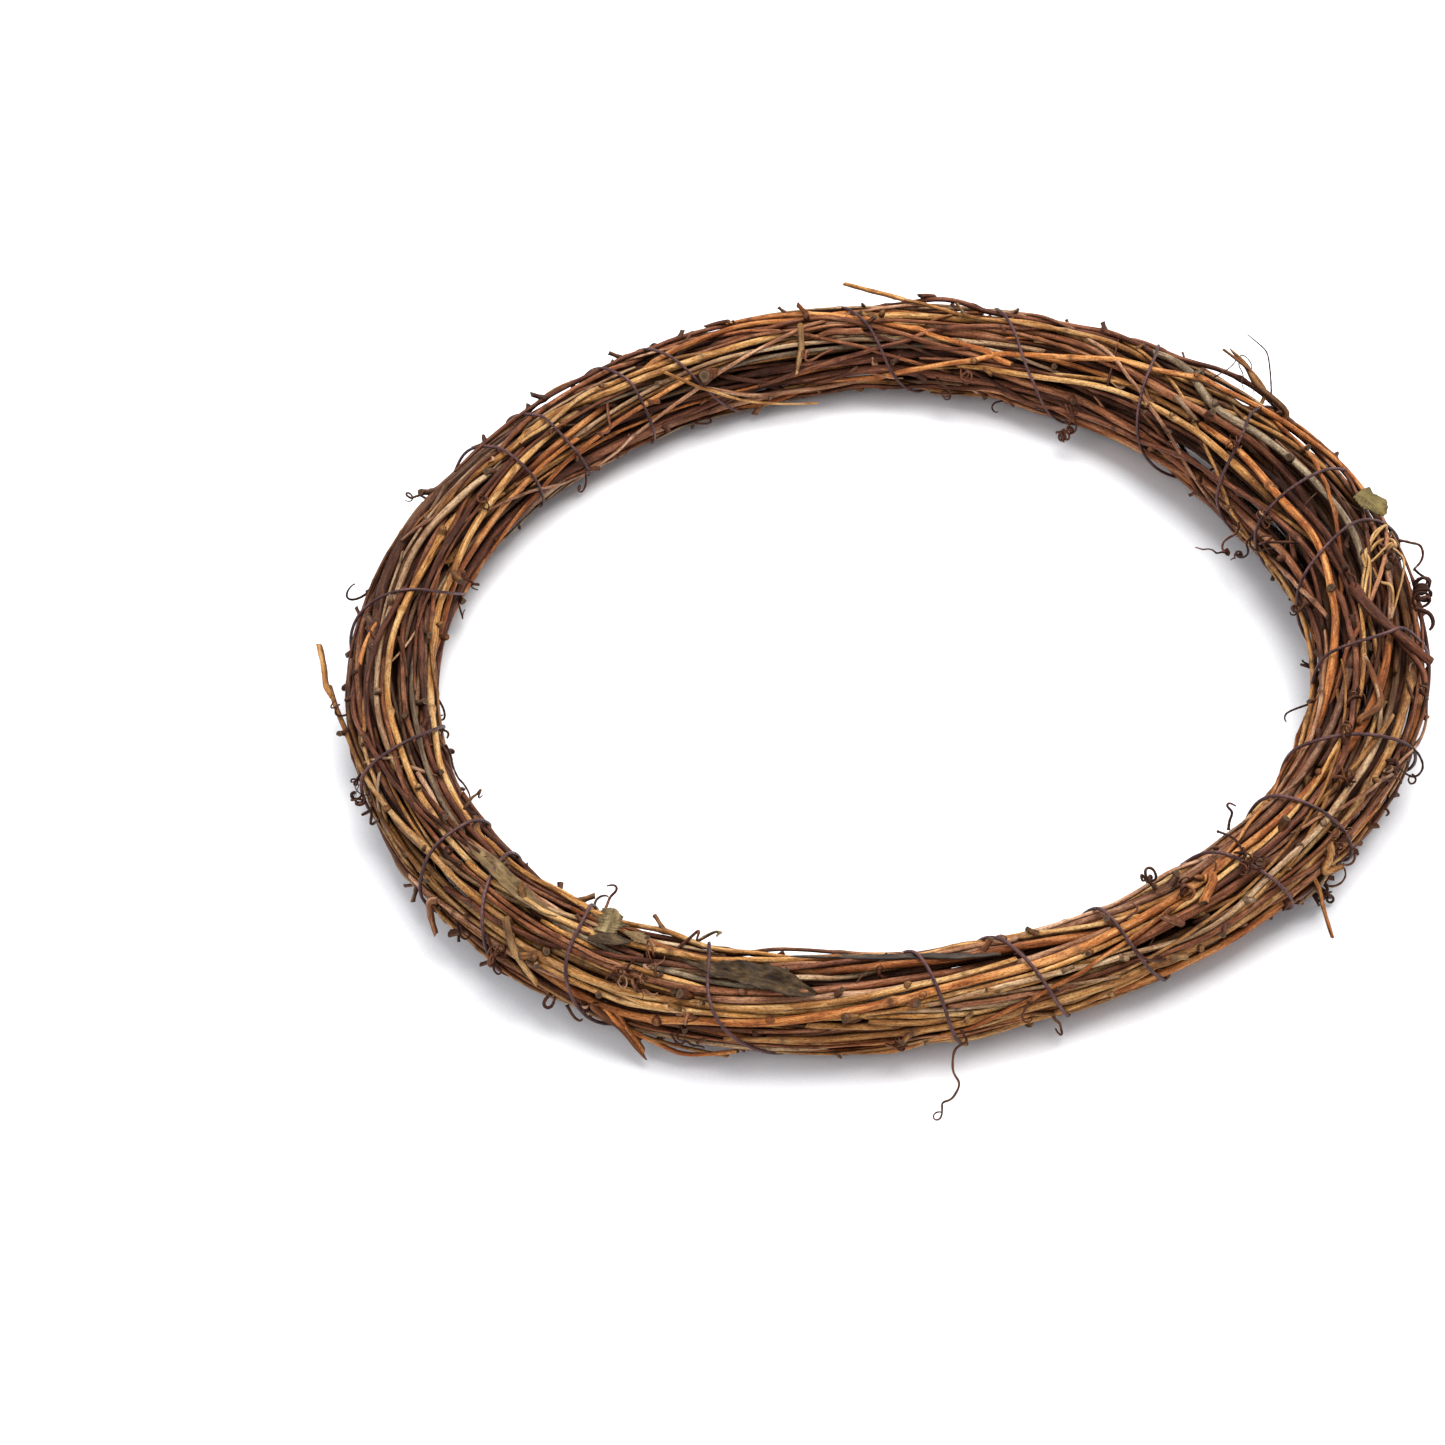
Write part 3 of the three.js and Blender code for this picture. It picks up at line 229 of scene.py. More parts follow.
class Cane:
    """A cane of the frame: its middle line and thickness, and what grows on it."""

    def __init__(self, name):
        self.name = name
        self.verts, self.tris = mesh_of(nodes[name])
        a, u, v = section_of(self.verts)
        step = 2 * math.pi / COARSE
        k = np.round(a / step)
        on = np.abs(a - k * step) * RING_RADIUS < ON_STATION
        k = k.astype(int) % COARSE
        rows = {}
        for i in np.nonzero(on)[0]:
            rows.setdefault(int(k[i]), []).append(i)
        counts = [len(r) for r in rows.values()]
        sides = 4 if counts.count(4) > counts.count(5) else 5
        rows = {s: r for s, r in rows.items() if len(r) >= sides}
        start = next(s for s in range(COARSE) if s in rows and (s - 1) % COARSE not in rows)
        line = []
        s = start
        while s % COARSE in rows and s < start + COARSE:
            r = rows[s % COARSE]
            if len(r) > sides:
                r = most_regular(r, u, v, sides)
            cu, cv = np.mean(u[r]), np.mean(v[r])
            line.append((s * step, cu, cv, np.hypot(u[r] - cu, v[r] - cv).mean()))
            s += 1
        self.first = start
        self.line = np.array(line)
        self.coarse = place(self.line[:, 0], self.line[:, 1], self.line[:, 2])

    def gap(self, p):
        """How far points lie outside the coarse cane."""
        best = np.full(len(p), FAR)
        for i in range(len(self.coarse) - 1):
            a, b = self.coarse[i], self.coarse[i + 1]
            t = np.clip(((p - a) @ (b - a)) / ((b - a) @ (b - a)), 0, 1)[:, None]
            r = self.line[i, 3] * (1 - t[:, 0]) + self.line[i + 1, 3] * t[:, 0]
            best = np.minimum(best, np.linalg.norm(p - a - (b - a) * t, axis=1) - r)
        return best

    def shoots(self):
        """Middle lines of the fused tendrils and buds, root first, with their number of sides."""
        free = self.gap(self.verts) > CLEAR_OF_CANE
        near = neighbours(len(self.verts), self.tris)
        left = set(np.nonzero(free)[0].tolist())
        found = []
        while left:
            seed = left.pop()
            group, stack = {seed}, [seed]
            while stack:
                for j in near[stack.pop()]:
                    if j in left:
                        left.discard(j)
                        group.add(j)
                        stack.append(j)
            layer = [i for i in group if any(not free[j] for j in near[i])]
            if not layer or len(group) < 3:
                continue
            rows = layers_from(layer, {i: near[i] & group for i in group})
            points = np.array([self.verts[r].mean(0) for r in rows])
            spread = [np.linalg.norm(self.verts[r] - c, axis=1).mean() for r, c in zip(rows, points)]
            if max(spread[1:] or [0]) < THICKEST_SHOOT:
                found.append((points, int(np.median([len(r) for r in rows]))))
        return found


canes = [Cane(n) for n in sorted(nodes) if n.startswith("cane_")]


# Building meshes
def add_object(name, verts, faces, material, fields, cut=None):
    """A piece on the root body, with point values for its material, smooth but for its cut faces."""
    me = bpy.data.meshes.new(name)
    me.from_pydata(verts.tolist(), [], faces)
    me.update()
    for key, values in fields.items():
        kind, part = ("FLOAT_VECTOR", "vector") if values.ndim == 2 else ("FLOAT", "value")
        me.attributes.new(key, kind, "POINT").data.foreach_set(part, values.ravel())
    smooth = np.ones(len(faces), bool)
    if cut is not None:
        me.attributes.new("cut", "FLOAT", "FACE").data.foreach_set("value", cut)
        smooth = cut < 0.5
    me.polygons.foreach_set("use_smooth", smooth)
    ob = bpy.data.objects.new(name, me)
    bpy.context.scene.collection.objects.link(ob)
    me.materials.append(material)
    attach(ob, "root")
    return ob


def frames_along(tang, first):
    """A side vector for each tangent that turns as little as possible."""
    x = np.asarray(first, float)
    side = np.empty_like(tang)
    for i, t in enumerate(tang):
        x = x - t * (x @ t)
        x = x / (np.linalg.norm(x) + 1e-15)
        side[i] = x
    return side


# Painted light and shade: canes are painted a little brighter or darker at some ring angles, as the light
# falls there, and painted darker the deeper they lie in the bundle, where shade falls
PAINTED_LIGHT_WAVES = ((1, 0.08, math.radians(50)), (2, 0.14, math.radians(83)))
SHADED_BELOW = 2.5 * MM
SHADE_DEEPENS_WITHIN = 7 * MM
PAINTED_DEEP_SHADE = -1.0
# Painted shade on the sides of stems that face away from the bundle's outside, where their neighbours shade
# them
PAINTED_SIDE_SHADE = -0.8
SIDE_SHADE_FROM = 0.35
LEAST_HEIGHT = 0.1 * MM
MOST_HEIGHT = cad_box[1][2] + 1.2 * MM
# Which ends of a stem show a cut face
UNCUT = (False, False)
CUT_FAR = (False, True)
CUT_BOTH = (True, True)


# Painted shade on canes lying deep in the bundle, plus painted light and shade round the ring
def painted_light_and_shade_at(p):
    a, u, v = section_of(p)
    deep = np.clip((bundle_at(a) - SHADED_BELOW - np.hypot(u, v)) / SHADE_DEEPENS_WITHIN, 0, 1)
    return PAINTED_DEEP_SHADE * deep + sum(size * np.cos(n * a - n * at) for n, size, at in PAINTED_LIGHT_WAVES)


class Skin:
    """Gathers round stems into one mesh with their bark coordinates."""

    def __init__(self):
        self.verts, self.faces, self.space, self.tone, self.mark, self.cut = [], [], [], [], [], []
        self.count = 0

    def tube(self, middle, radii, sides, tone, mark=0.0, side=None, along=0.0, twist=0.0, ridge=0.0,
             bump=None, cut_ends=CUT_BOTH, bevel=0.0, flat=1.0):
        """Stem along middle. bump(i, angles) scales the radius round ring i; flat squeezes it."""
        n = len(middle)
        tang = unit(np.gradient(middle, axis=0))
        s = lengths(middle)
        if side is None:
            side = frames_along(tang, (0.31, 0.17, 0.93))
        else:
            side = unit(side - tang * np.sum(side * tang, 1, keepdims=True))
        other = np.cross(tang, side)
        w = np.arange(sides) * 2 * np.pi / sides
        radii = np.broadcast_to(np.asarray(radii, float), (n,))
        a = w[None, :] + (twist * s)[:, None]
        folds = np.sin(3 * a + tone * 40) + 0.6 * np.sin(5 * a + tone * 17 + 90 * s[:, None])
        grid = radii[:, None] * (1 + ridge * folds)
        if bump is not None:
            for i in range(n):
                grid[i] *= bump(i, w)
        c, d = np.cos(w)[None, :, None], np.sin(w)[None, :, None]
        verts = middle[:, None] + grid[..., None] * (c * side[:, None] + flat * d * other[:, None])
        for end, cut in zip((0, -1), cut_ends):
            if cut:
                verts[end] += tang[end] * (bevel * grid[end] * np.cos(w + tone * 9))[:, None]
        space = np.empty((n, sides, 3))
        space[..., 0] = s[:, None] + along
        space[..., 1] = grid * np.cos(w)
        space[..., 2] = grid * np.sin(w)
        i, j = np.meshgrid(np.arange(n - 1), np.arange(sides), indexing="ij")
        p, q = i * sides + j, i * sides + (j + 1) % sides
        quads = np.stack([p, q, q + sides, p + sides], -1).reshape(-1, 4) + self.count
        near_end = list(range(self.count, self.count + sides))
        far_end = [k + (n - 1) * sides for k in near_end]
        self.faces += quads.tolist() + [near_end[::-1], far_end]
        self.cut += [0.0] * len(quads) + [float(cut) for cut in cut_ends]
        self.verts.append(verts.reshape(-1, 3))
        self.space.append(space.reshape(-1, 3))
        # Sides turned away from the bundle's outside get painted shade, as between packed canes
        facing = np.sum(unit(verts - middle[:, None]) * outward_at(middle)[:, None], 2)
        painted_side_shade = PAINTED_SIDE_SHADE * np.clip(SIDE_SHADE_FROM - facing, 0, 1)
        self.tone.append(np.clip((tone + painted_light_and_shade_at(middle))[:, None] + painted_side_shade, 0, 1).ravel())
        self.mark.append(np.repeat(np.broadcast_to(np.asarray(mark, float), (n,)), sides))
        self.count += n * sides

    def build(self, name, material):
        verts = np.concatenate(self.verts)
        verts[:, 2] = np.clip(verts[:, 2], LEAST_HEIGHT, MOST_HEIGHT)
        fields = {"bark_space": self.space, "tone": self.tone, "mark": self.mark}
        fields = {key: np.concatenate(parts) for key, parts in fields.items()}
        return add_object(name, verts, self.faces, material, fields, np.array(self.cut))


# Materials
class Tree:
    """Short way to wire a material's nodes."""

    def __init__(self, name):
        self.mat = bpy.data.materials.new(name)
        self.mat.use_nodes = True
        self.nt = self.mat.node_tree
        self.nt.nodes.clear()
        self.bsdf = self.add("ShaderNodeBsdfPrincipled")
        self.add("ShaderNodeOutputMaterial", {"Surface": self.bsdf.outputs[0]})

    def feed(self, socket, value):
        """Sets a socket, or links it to another one."""
        if isinstance(value, bpy.types.NodeSocket):
            self.nt.links.new(value, socket)
        elif socket.type == "RGBA":
            socket.default_value = (*value, 1)
        else:
            socket.default_value = value

    def add(self, kind, inputs=(), **settings):
        node = self.nt.nodes.new(kind)
        for key, value in settings.items():
            setattr(node, key, value)
        for key, value in dict(inputs).items():
            self.feed(node.inputs[key], value)
        return node

    def attribute(self, name, output="Fac"):
        return self.add("ShaderNodeAttribute", attribute_name=name).outputs[output]

    def scaled(self, source, scale):
        return self.add("ShaderNodeMapping", {"Vector": source, "Scale": scale}).outputs[0]

    def noise(self, source, scale, detail, rough, warp=0.0):
        return self.add("ShaderNodeTexNoise", {
            "Vector": self.scaled(source, scale), "Scale": 1.0, "Detail": detail, "Roughness": rough,
            "Distortion": warp}).outputs["Fac"]

    def ramp(self, fac, *stops):
        """Greys or colours at the given places between 0 and 1."""
        node = self.add("ShaderNodeValToRGB", {"Fac": fac})
        elements = node.color_ramp.elements
        while len(elements) < len(stops):
            elements.new(0.5)
        for element, (at, colour) in zip(elements, stops):
            element.position = at
            element.color = (*colour, 1) if isinstance(colour, tuple) else (colour, colour, colour, 1)
        return node.outputs[0]

    def mix(self, fac, a, b, blend="MIX"):
        return self.add("ShaderNodeMix", {0: fac, 6: a, 7: b}, data_type="RGBA", blend_type=blend).outputs[2]

    def math(self, operation, a, b):
        return self.add("ShaderNodeMath", {0: a, 1: b}, operation=operation).outputs[0]

    def times(self, a, b):
        return self.math("MULTIPLY", a, b)

    def length(self, vector):
        return self.add("ShaderNodeVectorMath", {0: vector}, operation="LENGTH").outputs["Value"]

    def finished(self, colour, roughness, specular, *reliefs):
        """The material, from its colour, gloss and reliefs: height, distance in metres, strength."""
        self.feed(self.bsdf.inputs["Base Color"], colour)
        self.feed(self.bsdf.inputs["Roughness"], roughness)
        self.feed(self.bsdf.inputs["Specular IOR Level"], specular)
        normal = self.bsdf.inputs["Normal"]
        for height, distance, strength in reversed(reliefs):
            bump = self.add("ShaderNodeBump", {"Height": height, "Distance": distance, "Strength": strength})
            self.feed(normal, bump.outputs[0])
            normal = bump.inputs["Normal"]
        return self.mat


def bark(name, dark, mid, light, flake, specks=0.45):
    """Vine bark: long streaks, pores, peeled patches, dark joints and pale cut ends, darkened or brightened
    by painted light and shade.
    """
    t = Tree(name)
    space = t.attribute("bark_space", "Vector")
    tone, mark, cut = t.attribute("tone"), t.attribute("mark"), t.attribute("cut")
    streak = t.noise(space, (75, 950, 950), 4, 0.62)
    fine = t.noise(space, (700, 3000, 3000), 3, 0.6)
    blotch = t.noise(space, (42, 190, 190), 4, 0.65, 0.4)
    slow = t.noise(space, (11, 26, 26), 2, 0.5)
    pore = t.noise(space, (1050, 2100, 2100), 1.5, 0.5)
    mixed = t.math("ADD", t.times(streak, 0.55), t.times(slow, 0.45))
    colour = t.ramp(mixed, (0.38, dark), (0.48, mid), (0.58, light))
    colour = t.mix(t.ramp(blotch, (0.50, 0.0), (0.60, 0.9)), colour, flake)
    colour = t.mix(0.7, colour, t.ramp(fine, (0.36, (0.34, 0.24, 0.18)), (0.5, 1.0)), "MULTIPLY")
    colour = t.mix(specks, colour, t.ramp(pore, (0.36, (0.16, 0.10, 0.07)), (0.44, 1.0)), "MULTIPLY")
    # The tone attribute, each stem's own random tone plus painted light and shade, makes the bark darker or
    # brighter
    tone_and_painted_shade = t.ramp(tone, (0.0, (0.22, 0.17, 0.15)), (0.32, (0.72, 0.66, 0.62)), (0.6, (1.04, 1.03, 1.0)),
                   (1.0, (1.40, 1.37, 1.30)))
    colour = t.mix(1.0, colour, tone_and_painted_shade, "MULTIPLY")
    colour = t.mix(t.times(mark, 0.88), colour, (0.036, 0.014, 0.008))
    grain = t.noise(space, (2500, 2500, 2500), 3, 0.55)
    pith = t.ramp(grain, (0.4, (0.10, 0.055, 0.028)), (0.62, (0.30, 0.20, 0.115)))
    heart = t.ramp(t.length(t.scaled(space, (0, 1, 1))), (0.0003, 1.0), (0.0006, 0.0))
    colour = t.mix(cut, colour, t.mix(heart, pith, (0.050, 0.026, 0.014)))
    return t.finished(colour, t.ramp(streak, (0.35, 0.74), (0.65, 0.44)), 0.14, (blotch, 0.0005, 0.7),
                      (streak, 0.0005, 0.9), (fine, 0.0002, 0.8), (pore, 0.0001, 0.6))


# Vine barks: colours of the grooves, the bark, its ridges and its flakes
BARKS = {
    "golden": ((0.15, 0.058, 0.014), (0.415, 0.192, 0.054), (0.59, 0.375, 0.165), (0.215, 0.086, 0.024)),
    "tan": ((0.12, 0.048, 0.024), (0.345, 0.158, 0.08), (0.53, 0.335, 0.215), (0.165, 0.066, 0.033)),
    "orange": ((0.135, 0.036, 0.009), (0.42, 0.145, 0.036), (0.61, 0.3, 0.108), (0.21, 0.058, 0.015)),
    "red": ((0.075, 0.023, 0.01), (0.23, 0.076, 0.029), (0.39, 0.185, 0.096), (0.115, 0.038, 0.016)),
    "dark": ((0.036, 0.012, 0.006), (0.128, 0.041, 0.02), (0.26, 0.102, 0.052), (0.068, 0.023, 0.012)),
    "grey": ((0.07, 0.043, 0.026), (0.19, 0.135, 0.085), (0.33, 0.255, 0.17), (0.11, 0.074, 0.046)),
    "pale": ((0.19, 0.098, 0.045), (0.43, 0.27, 0.145), (0.66, 0.49, 0.31), (0.28, 0.15, 0.078)),
}
MATERIALS = {"cane_" + kind: bark(kind + " cane", *colours) for kind, colours in BARKS.items()}


def wire_material():
    t = Tree("wrapped wire")
    space = t.attribute("bark_space", "Vector")
    wear = t.noise(space, (120, 900, 900), 4, 0.6)
    grain = t.noise(space, (1500, 3000, 3000), 2, 0.5)
    wrap = t.add("ShaderNodeTexWave", {
        "Vector": t.scaled(space, (170, 120, 160)), "Scale": 1.0, "Distortion": 1.2, "Detail": 2},
        wave_type="BANDS", bands_direction="X").outputs["Fac"]
    colour = t.ramp(wear, (0.32, (0.022, 0.009, 0.009)), (0.5, (0.060, 0.024, 0.024)),
                    (0.68, (0.130, 0.060, 0.057)))
    gloss = t.ramp(wear, (0.3, 0.6), (0.7, 0.4))
    return t.finished(colour, gloss, 0.25, (wrap, 0.00018, 0.7), (grain, 0.00007, 0.6))


def leaf_material(name, dark, mid, light, vein):
    t = Tree(name)
    space = t.attribute("leaf_space", "Vector")
    cells = t.add("ShaderNodeTexVoronoi", {"Vector": space, "Scale": 700}, feature="DISTANCE_TO_EDGE")
    net = t.ramp(cells.outputs["Distance"], (0.0, 1.0), (0.09, 0.0))
    patch = t.noise(space, (150, 320, 320), 4, 0.6)
    colour = t.ramp(patch, (0.30, dark), (0.5, mid), (0.72, light))
    colour = t.mix(t.times(net, 0.10), colour, dark)
    colour = t.mix(t.times(t.attribute("rib"), 0.65), colour, vein)
    colour = t.mix(t.times(t.attribute("edge"), 0.6), colour, dark)
    return t.finished(colour, 0.6, 0.2, (patch, 0.0010, 1.0), (net, 0.00008, 0.5))


# Strands: the frame's canes and the thin canes packed among them
class Strand:
    """A stem wound along the ring, one middle point for every fine station."""

    def __init__(self, first, u, v, r, slot, gives, seed, cane=None):
        self.first, self.u, self.v, self.r = first, u, v, r
        self.slot, self.gives, self.cane = slot, gives, cane
        self.draw = random.Random(seed)
        self.tone = 0.22 + 0.58 * self.draw.random()
        self.a = (first + np.arange(len(u))) * FINE_STEP


# Ring angles where the binding wire crosses the top, and how far in degrees a turn pinches
WIRE_AT = (8.9, 23, 42, 64.8, 85, 112, 119.4, 132.8, 140.7, 169.5, 197, 211.8, 219.6, 232.7, 247.3, 270.4,
           280.3, 291.4, 307.2, 317.8, 327.8, 342.5, 359.5)
PINCHED = 3.6
# Drawn canes are thinner than the frame's, which stand in for the thin canes beside them too
THINNER = 0.80
DRAWN = 0.86
# How much a strand gives way when it meets another, and below what it counts as firm
CANE_GIVES = 0.22
THIN_GIVES = 1.0
FIRM_BELOW = 0.5
# Packing: share of an overlap taken back in a round, share of the way back to its route that a firm
# strand and another one go, rounds at the end without that
PUSH = 0.55
BACK_FIRM = 0.05
BACK_OTHER = 0.012
LAST_ROUNDS = 4
# How far in mm strands may stand over the bundle: firm ones, others at the wire and more between
FIRM_OVER = 1.2
OTHER_OVER = 0.3
MORE_BETWEEN = 1.5
PACKED_OVER_FLOOR = 1.6 * MM
LAID_OVER_FLOOR = 1.3 * MM
# Joints in mm: least and most from one to the next, on the frame's canes and on thin ones, and
# the points set round each. Steps between the other points of a line.
CANE_JOINTS = (42, 95)
THIN_JOINTS = (24, 60)
ROUND_JOINT = (-2.6, -1.2, 0.0, 1.2, 2.6)
CANE_STEP = 3.2 * MM
THIN_STEP = 3.8 * MM
strands = []


def pinch(a):
    """1 where the wire holds the bundle together, falling to 0 between its turns."""
    deg = np.degrees(a) % 360
    near = np.min([np.abs((deg - w + 180) % 360 - 180) for w in WIRE_AT], axis=0)
    return bell(near, PINCHED)


def add_cane_strands():
    for index, cane in enumerate(canes):
        line = smooth_line(cane.line, PER)
        a, u, v, r = line.T
        draw = random.Random(500 + index)
        reach = np.hypot(u, v)
        # surface canes keep their outer side where the frame has it
        shift = 1 + r * (1 - THINNER) * np.clip(reach / bundle_at(a) * 4 - 2.6, 0, 1) / reach
        u, v, r = u * shift, v * shift, r * THINNER
        s = a * RING_RADIUS
        for wave, size in ((0.12, 0.35), (0.05, 0.20)):
            p, q = draw.uniform(0, 6.28), draw.uniform(0, 6.28)
            u = u + size * MM * np.sin(s / wave * 6.28 + p)
            v = v + size * MM * np.sin(s / wave * 6.28 + q)
        strands.append(Strand(cane.first * PER, u, v, r, SLOT_OF[cane.name], CANE_GIVES, 1000 + index, cane))


# Barks of the thin canes, and of those at the right, where the bundle is warmer
THIN_BARKS = ("golden", "golden", "tan", "orange", "red", "pale", "dark", "grey")
WARM_BARKS = ("orange", "orange", "golden", "red", "tan", "red", "dark", "golden")


def add_thin_strands(count):
    draw = random.Random(77)
    for index in range(count):
        first = draw.randrange(FINE)
        n = int(draw.choice([20, 34, 50, 70, 85]) * draw.uniform(0.7, 1.2))
        a = (first + np.arange(n)) * FINE_STEP
        deg = np.degrees(a - a[0])
        under = index % 5 == 0
        phi = draw.uniform(200, 330) if under else draw.uniform(-35, 215)
        wild = 1.6 if math.cos(a[n // 2] - 0.15) > 0.35 else 1.0
        rate = draw.choice([-1, 1]) * draw.choice([0.1, 0.35, 0.7, 1.2, 2.0]) * wild
        sway = draw.uniform(2, 9) * np.sin(np.radians(deg * draw.uniform(2, 5)) + draw.uniform(0, 6))
        phis = np.radians(phi + rate * (deg - deg[-1] / 2) + sway)
        size = draw.uniform(0.75, 1.55) * MM
        r = size * (1 - 0.25 * np.linspace(0, 1, n))
        depth = draw.choice([0.2, 0.8, 1.6, 3.0, 5.0]) * MM
        reach = bundle_at(a) - r - depth
        if depth < 1 * MM and draw.random() < 0.45:
            # stands away from the bundle somewhere along its way
            at, wide = draw.uniform(0.2, 0.8) * deg[-1], draw.uniform(5, 11)
            reach = reach + draw.uniform(1.5, 4.5) * MM * bell(deg - at, wide) * (1 - pinch(a))
        barks = WARM_BARKS if math.cos(a[n // 2] - 0.1) > 0.45 else THIN_BARKS
        u, v = reach * np.cos(phis), reach * np.sin(phis)
        strands.append(Strand(first, u, v, r, "cane_" + draw.choice(barks), THIN_GIVES, 3000 + index))


def pack_strands(rounds):
    """Moves the strands apart until none runs through another, each keeping near its route."""
    n = len(strands)
    here = np.zeros((n, FINE), bool)
    u, v, r = np.zeros((n, FINE)), np.zeros((n, FINE)), np.zeros((n, FINE))
    gives = np.array([s.gives for s in strands])
    where = []
    for i, s in enumerate(strands):
        k = (s.first + np.arange(len(s.u))) % FINE
        where.append(k)
        here[i, k], u[i, k], v[i, k], r[i, k] = True, s.u, s.v, s.r
    u0, v0 = u.copy(), v.copy()
    active = [np.nonzero(here[:, k])[0] for k in range(FINE)]
    a = np.arange(FINE) * FINE_STEP
    limit, pinched = bundle_at(a), pinch(a)
    firm = (gives < FIRM_BELOW)[:, None]
    back = np.where(firm, BACK_FIRM, BACK_OTHER)
    link = here & np.roll(here, 1, 1), here & np.roll(here, -1, 1)
    for turn in range(rounds):
        for k in range(FINE):
            i = active[k]
            x, y, q = u[i, k], v[i, k], r[i, k]
            dx, dy = x[:, None] - x[None], y[:, None] - y[None]
            d = np.hypot(dx, dy) + 1e-9
            over = q[:, None] + q[None] - d
            np.fill_diagonal(over, 0)
            over = np.maximum(over, 0)
            share = gives[i][:, None] / (gives[i][:, None] + gives[i][None])
            move = PUSH * over * share / d
            u[i, k] += (move * dx).sum(1)
            v[i, k] += (move * dy).sum(1)
        if turn < rounds - LAST_ROUNDS:
            for x, x0 in ((u, u0), (v, v0)):
                d = (x - x0) * (1 - back)
                before, after = np.roll(d, 1, 1) * link[0], np.roll(d, -1, 1) * link[1]
                count = link[0].astype(float) + link[1]
                x[...] = x0 + np.where(count > 0, 0.5 * d + 0.5 * (before + after) / np.maximum(count, 1), d)
        reach = np.hypot(u, v) + 1e-12
        slack = (OTHER_OVER + MORE_BETWEEN * (1 - pinched)) * MM
        far = np.maximum(limit + np.where(firm, FIRM_OVER * MM, slack), np.hypot(u0, v0) + r)
        pull = np.minimum(1, (far - r) / reach)
        u *= pull
        v *= pull
        v[...] = np.maximum(v, r - limit - LIFT + PACKED_OVER_FLOOR)
    for i, s in enumerate(strands):
        s.u, s.v = u[i, where[i]], v[i, where[i]]


def lay_line(strand):
    """The strand's final middle line with its joints, closer points near each joint."""
    draw = strand.draw
    dense = smooth_line(np.stack([strand.a, strand.u, strand.v, strand.r], 1), 6)
    p = place(dense[:, 0], dense[:, 1], dense[:, 2])
    s = lengths(p)
    big = strand.cane is not None
    joints = []
    at = draw.uniform(10, 50) * MM
    while at < s[-1] - 8 * MM:
        joints.append(at)
        at += draw.uniform(*(CANE_JOINTS if big else THIN_JOINTS)) * MM
    marks = [x + d * MM for x in joints for d in ROUND_JOINT]
    t = np.unique(np.concatenate([np.arange(0, s[-1], CANE_STEP if big else THIN_STEP), marks, [s[-1]]]))
    t = t[np.concatenate([[True], np.diff(t) > 0.5 * MM])]
    line = points_at(t, s, p)
    r = np.interp(t, s, dense[:, 3])
    out = outward_at(line)
    across = np.cross(onward_at(line), out)
    lean = draw.uniform(-1, 1)
    swell, mark = np.ones(len(t)), np.zeros(len(t))
    for j, x in enumerate(joints):
        knot = bell(t - x, draw.uniform(1.4, 2.4) * MM)
        swell += draw.uniform(0.16, 0.36) * knot
        mark = np.maximum(mark, draw.uniform(0.35, 0.95) * bell(t - x, 1.4 * MM))
        # the stem turns a little at each joint
        kink = (1 if j % 2 else -1) * draw.uniform(0.15, 0.45) * MM
        kink = kink * np.maximum(0, 1 - np.abs(t - x) / (16 * MM))
        line = line + (across + lean * out) * kink[:, None]
    line[:, 2] = np.maximum(line[:, 2], r + LAID_OVER_FLOOR)
    strand.line, strand.s, strand.joints = line, t, joints
    strand.radii = DRAWN * r * swell * (1 + 0.03 * np.sin(t * 150 + 9 * strand.tone))
    strand.mark, strand.plain = mark, r


add_cane_strands()
add_thin_strands(150)
pack_strands(70)
for strand in strands:
    lay_line(strand)

# Every stem as balls, to find out what is free
BALL_STEP = 1.6 * MM
WIRE_RADIUS = 0.63 * MM


def ball_tree(points):
    tree = KDTree(len(points))
    for i, p in enumerate(points):
        tree.insert(Vector(p), i)
    tree.balance()
    return tree


ball_steps = [np.arange(0, strand.s[-1], BALL_STEP) for strand in strands]
ball_points = np.concatenate([points_at(t, x.s, x.line) for t, x in zip(ball_steps, strands)])
ball_radii = np.concatenate([np.interp(t, x.s, x.plain) for t, x in zip(ball_steps, strands)])
WIDEST = float(ball_radii.max())
stems = ball_tree(ball_points)


# Farthest that room() looks, and the heights in mm that perch() tries
SEEN = 4 * MM
LOWEST, HIGHEST, HIGHER = -4.0, 6, 0.25


def room(p, r):
    """Space between a ball of radius r at p and the stems."""
    least = SEEN
    for _, i, d in stems.find_range(Vector(p), WIDEST + r + least):
        least = min(least, d - ball_radii[i] - r)
    return least


def perch(deg, phi, r, sink=0.2):
    """Lowest height over the bundle, in mm, where a stem of radius r lies on the others."""
    h = LOWEST
    while h < HIGHEST and room(surface(deg, phi, h), r) < -sink * MM:
        h += HIGHER
    return h


# Binding wire
def wire_corners():
    """Middle points of the frame's wire, from one end to the other."""
    verts, tris = mesh_of(nodes["binding_wire"])
    near = neighbours(len(verts), tris)
    end = layers_from([0], near)[-1]
    return np.array([verts[layer].mean(0) for layer in layers_from(end, near)])


# The wire comes down on the canes in steps, sinks in a little, and is stiff over so many points,
# where it rests on so many of the highest
WIRE_FROM, WIRE_TO, WIRE_STEP = 5 * MM, -1.5 * MM, 0.12 * MM
WIRE_SINKS = 0.05 * MM
STIFF = 8
RESTS = 5


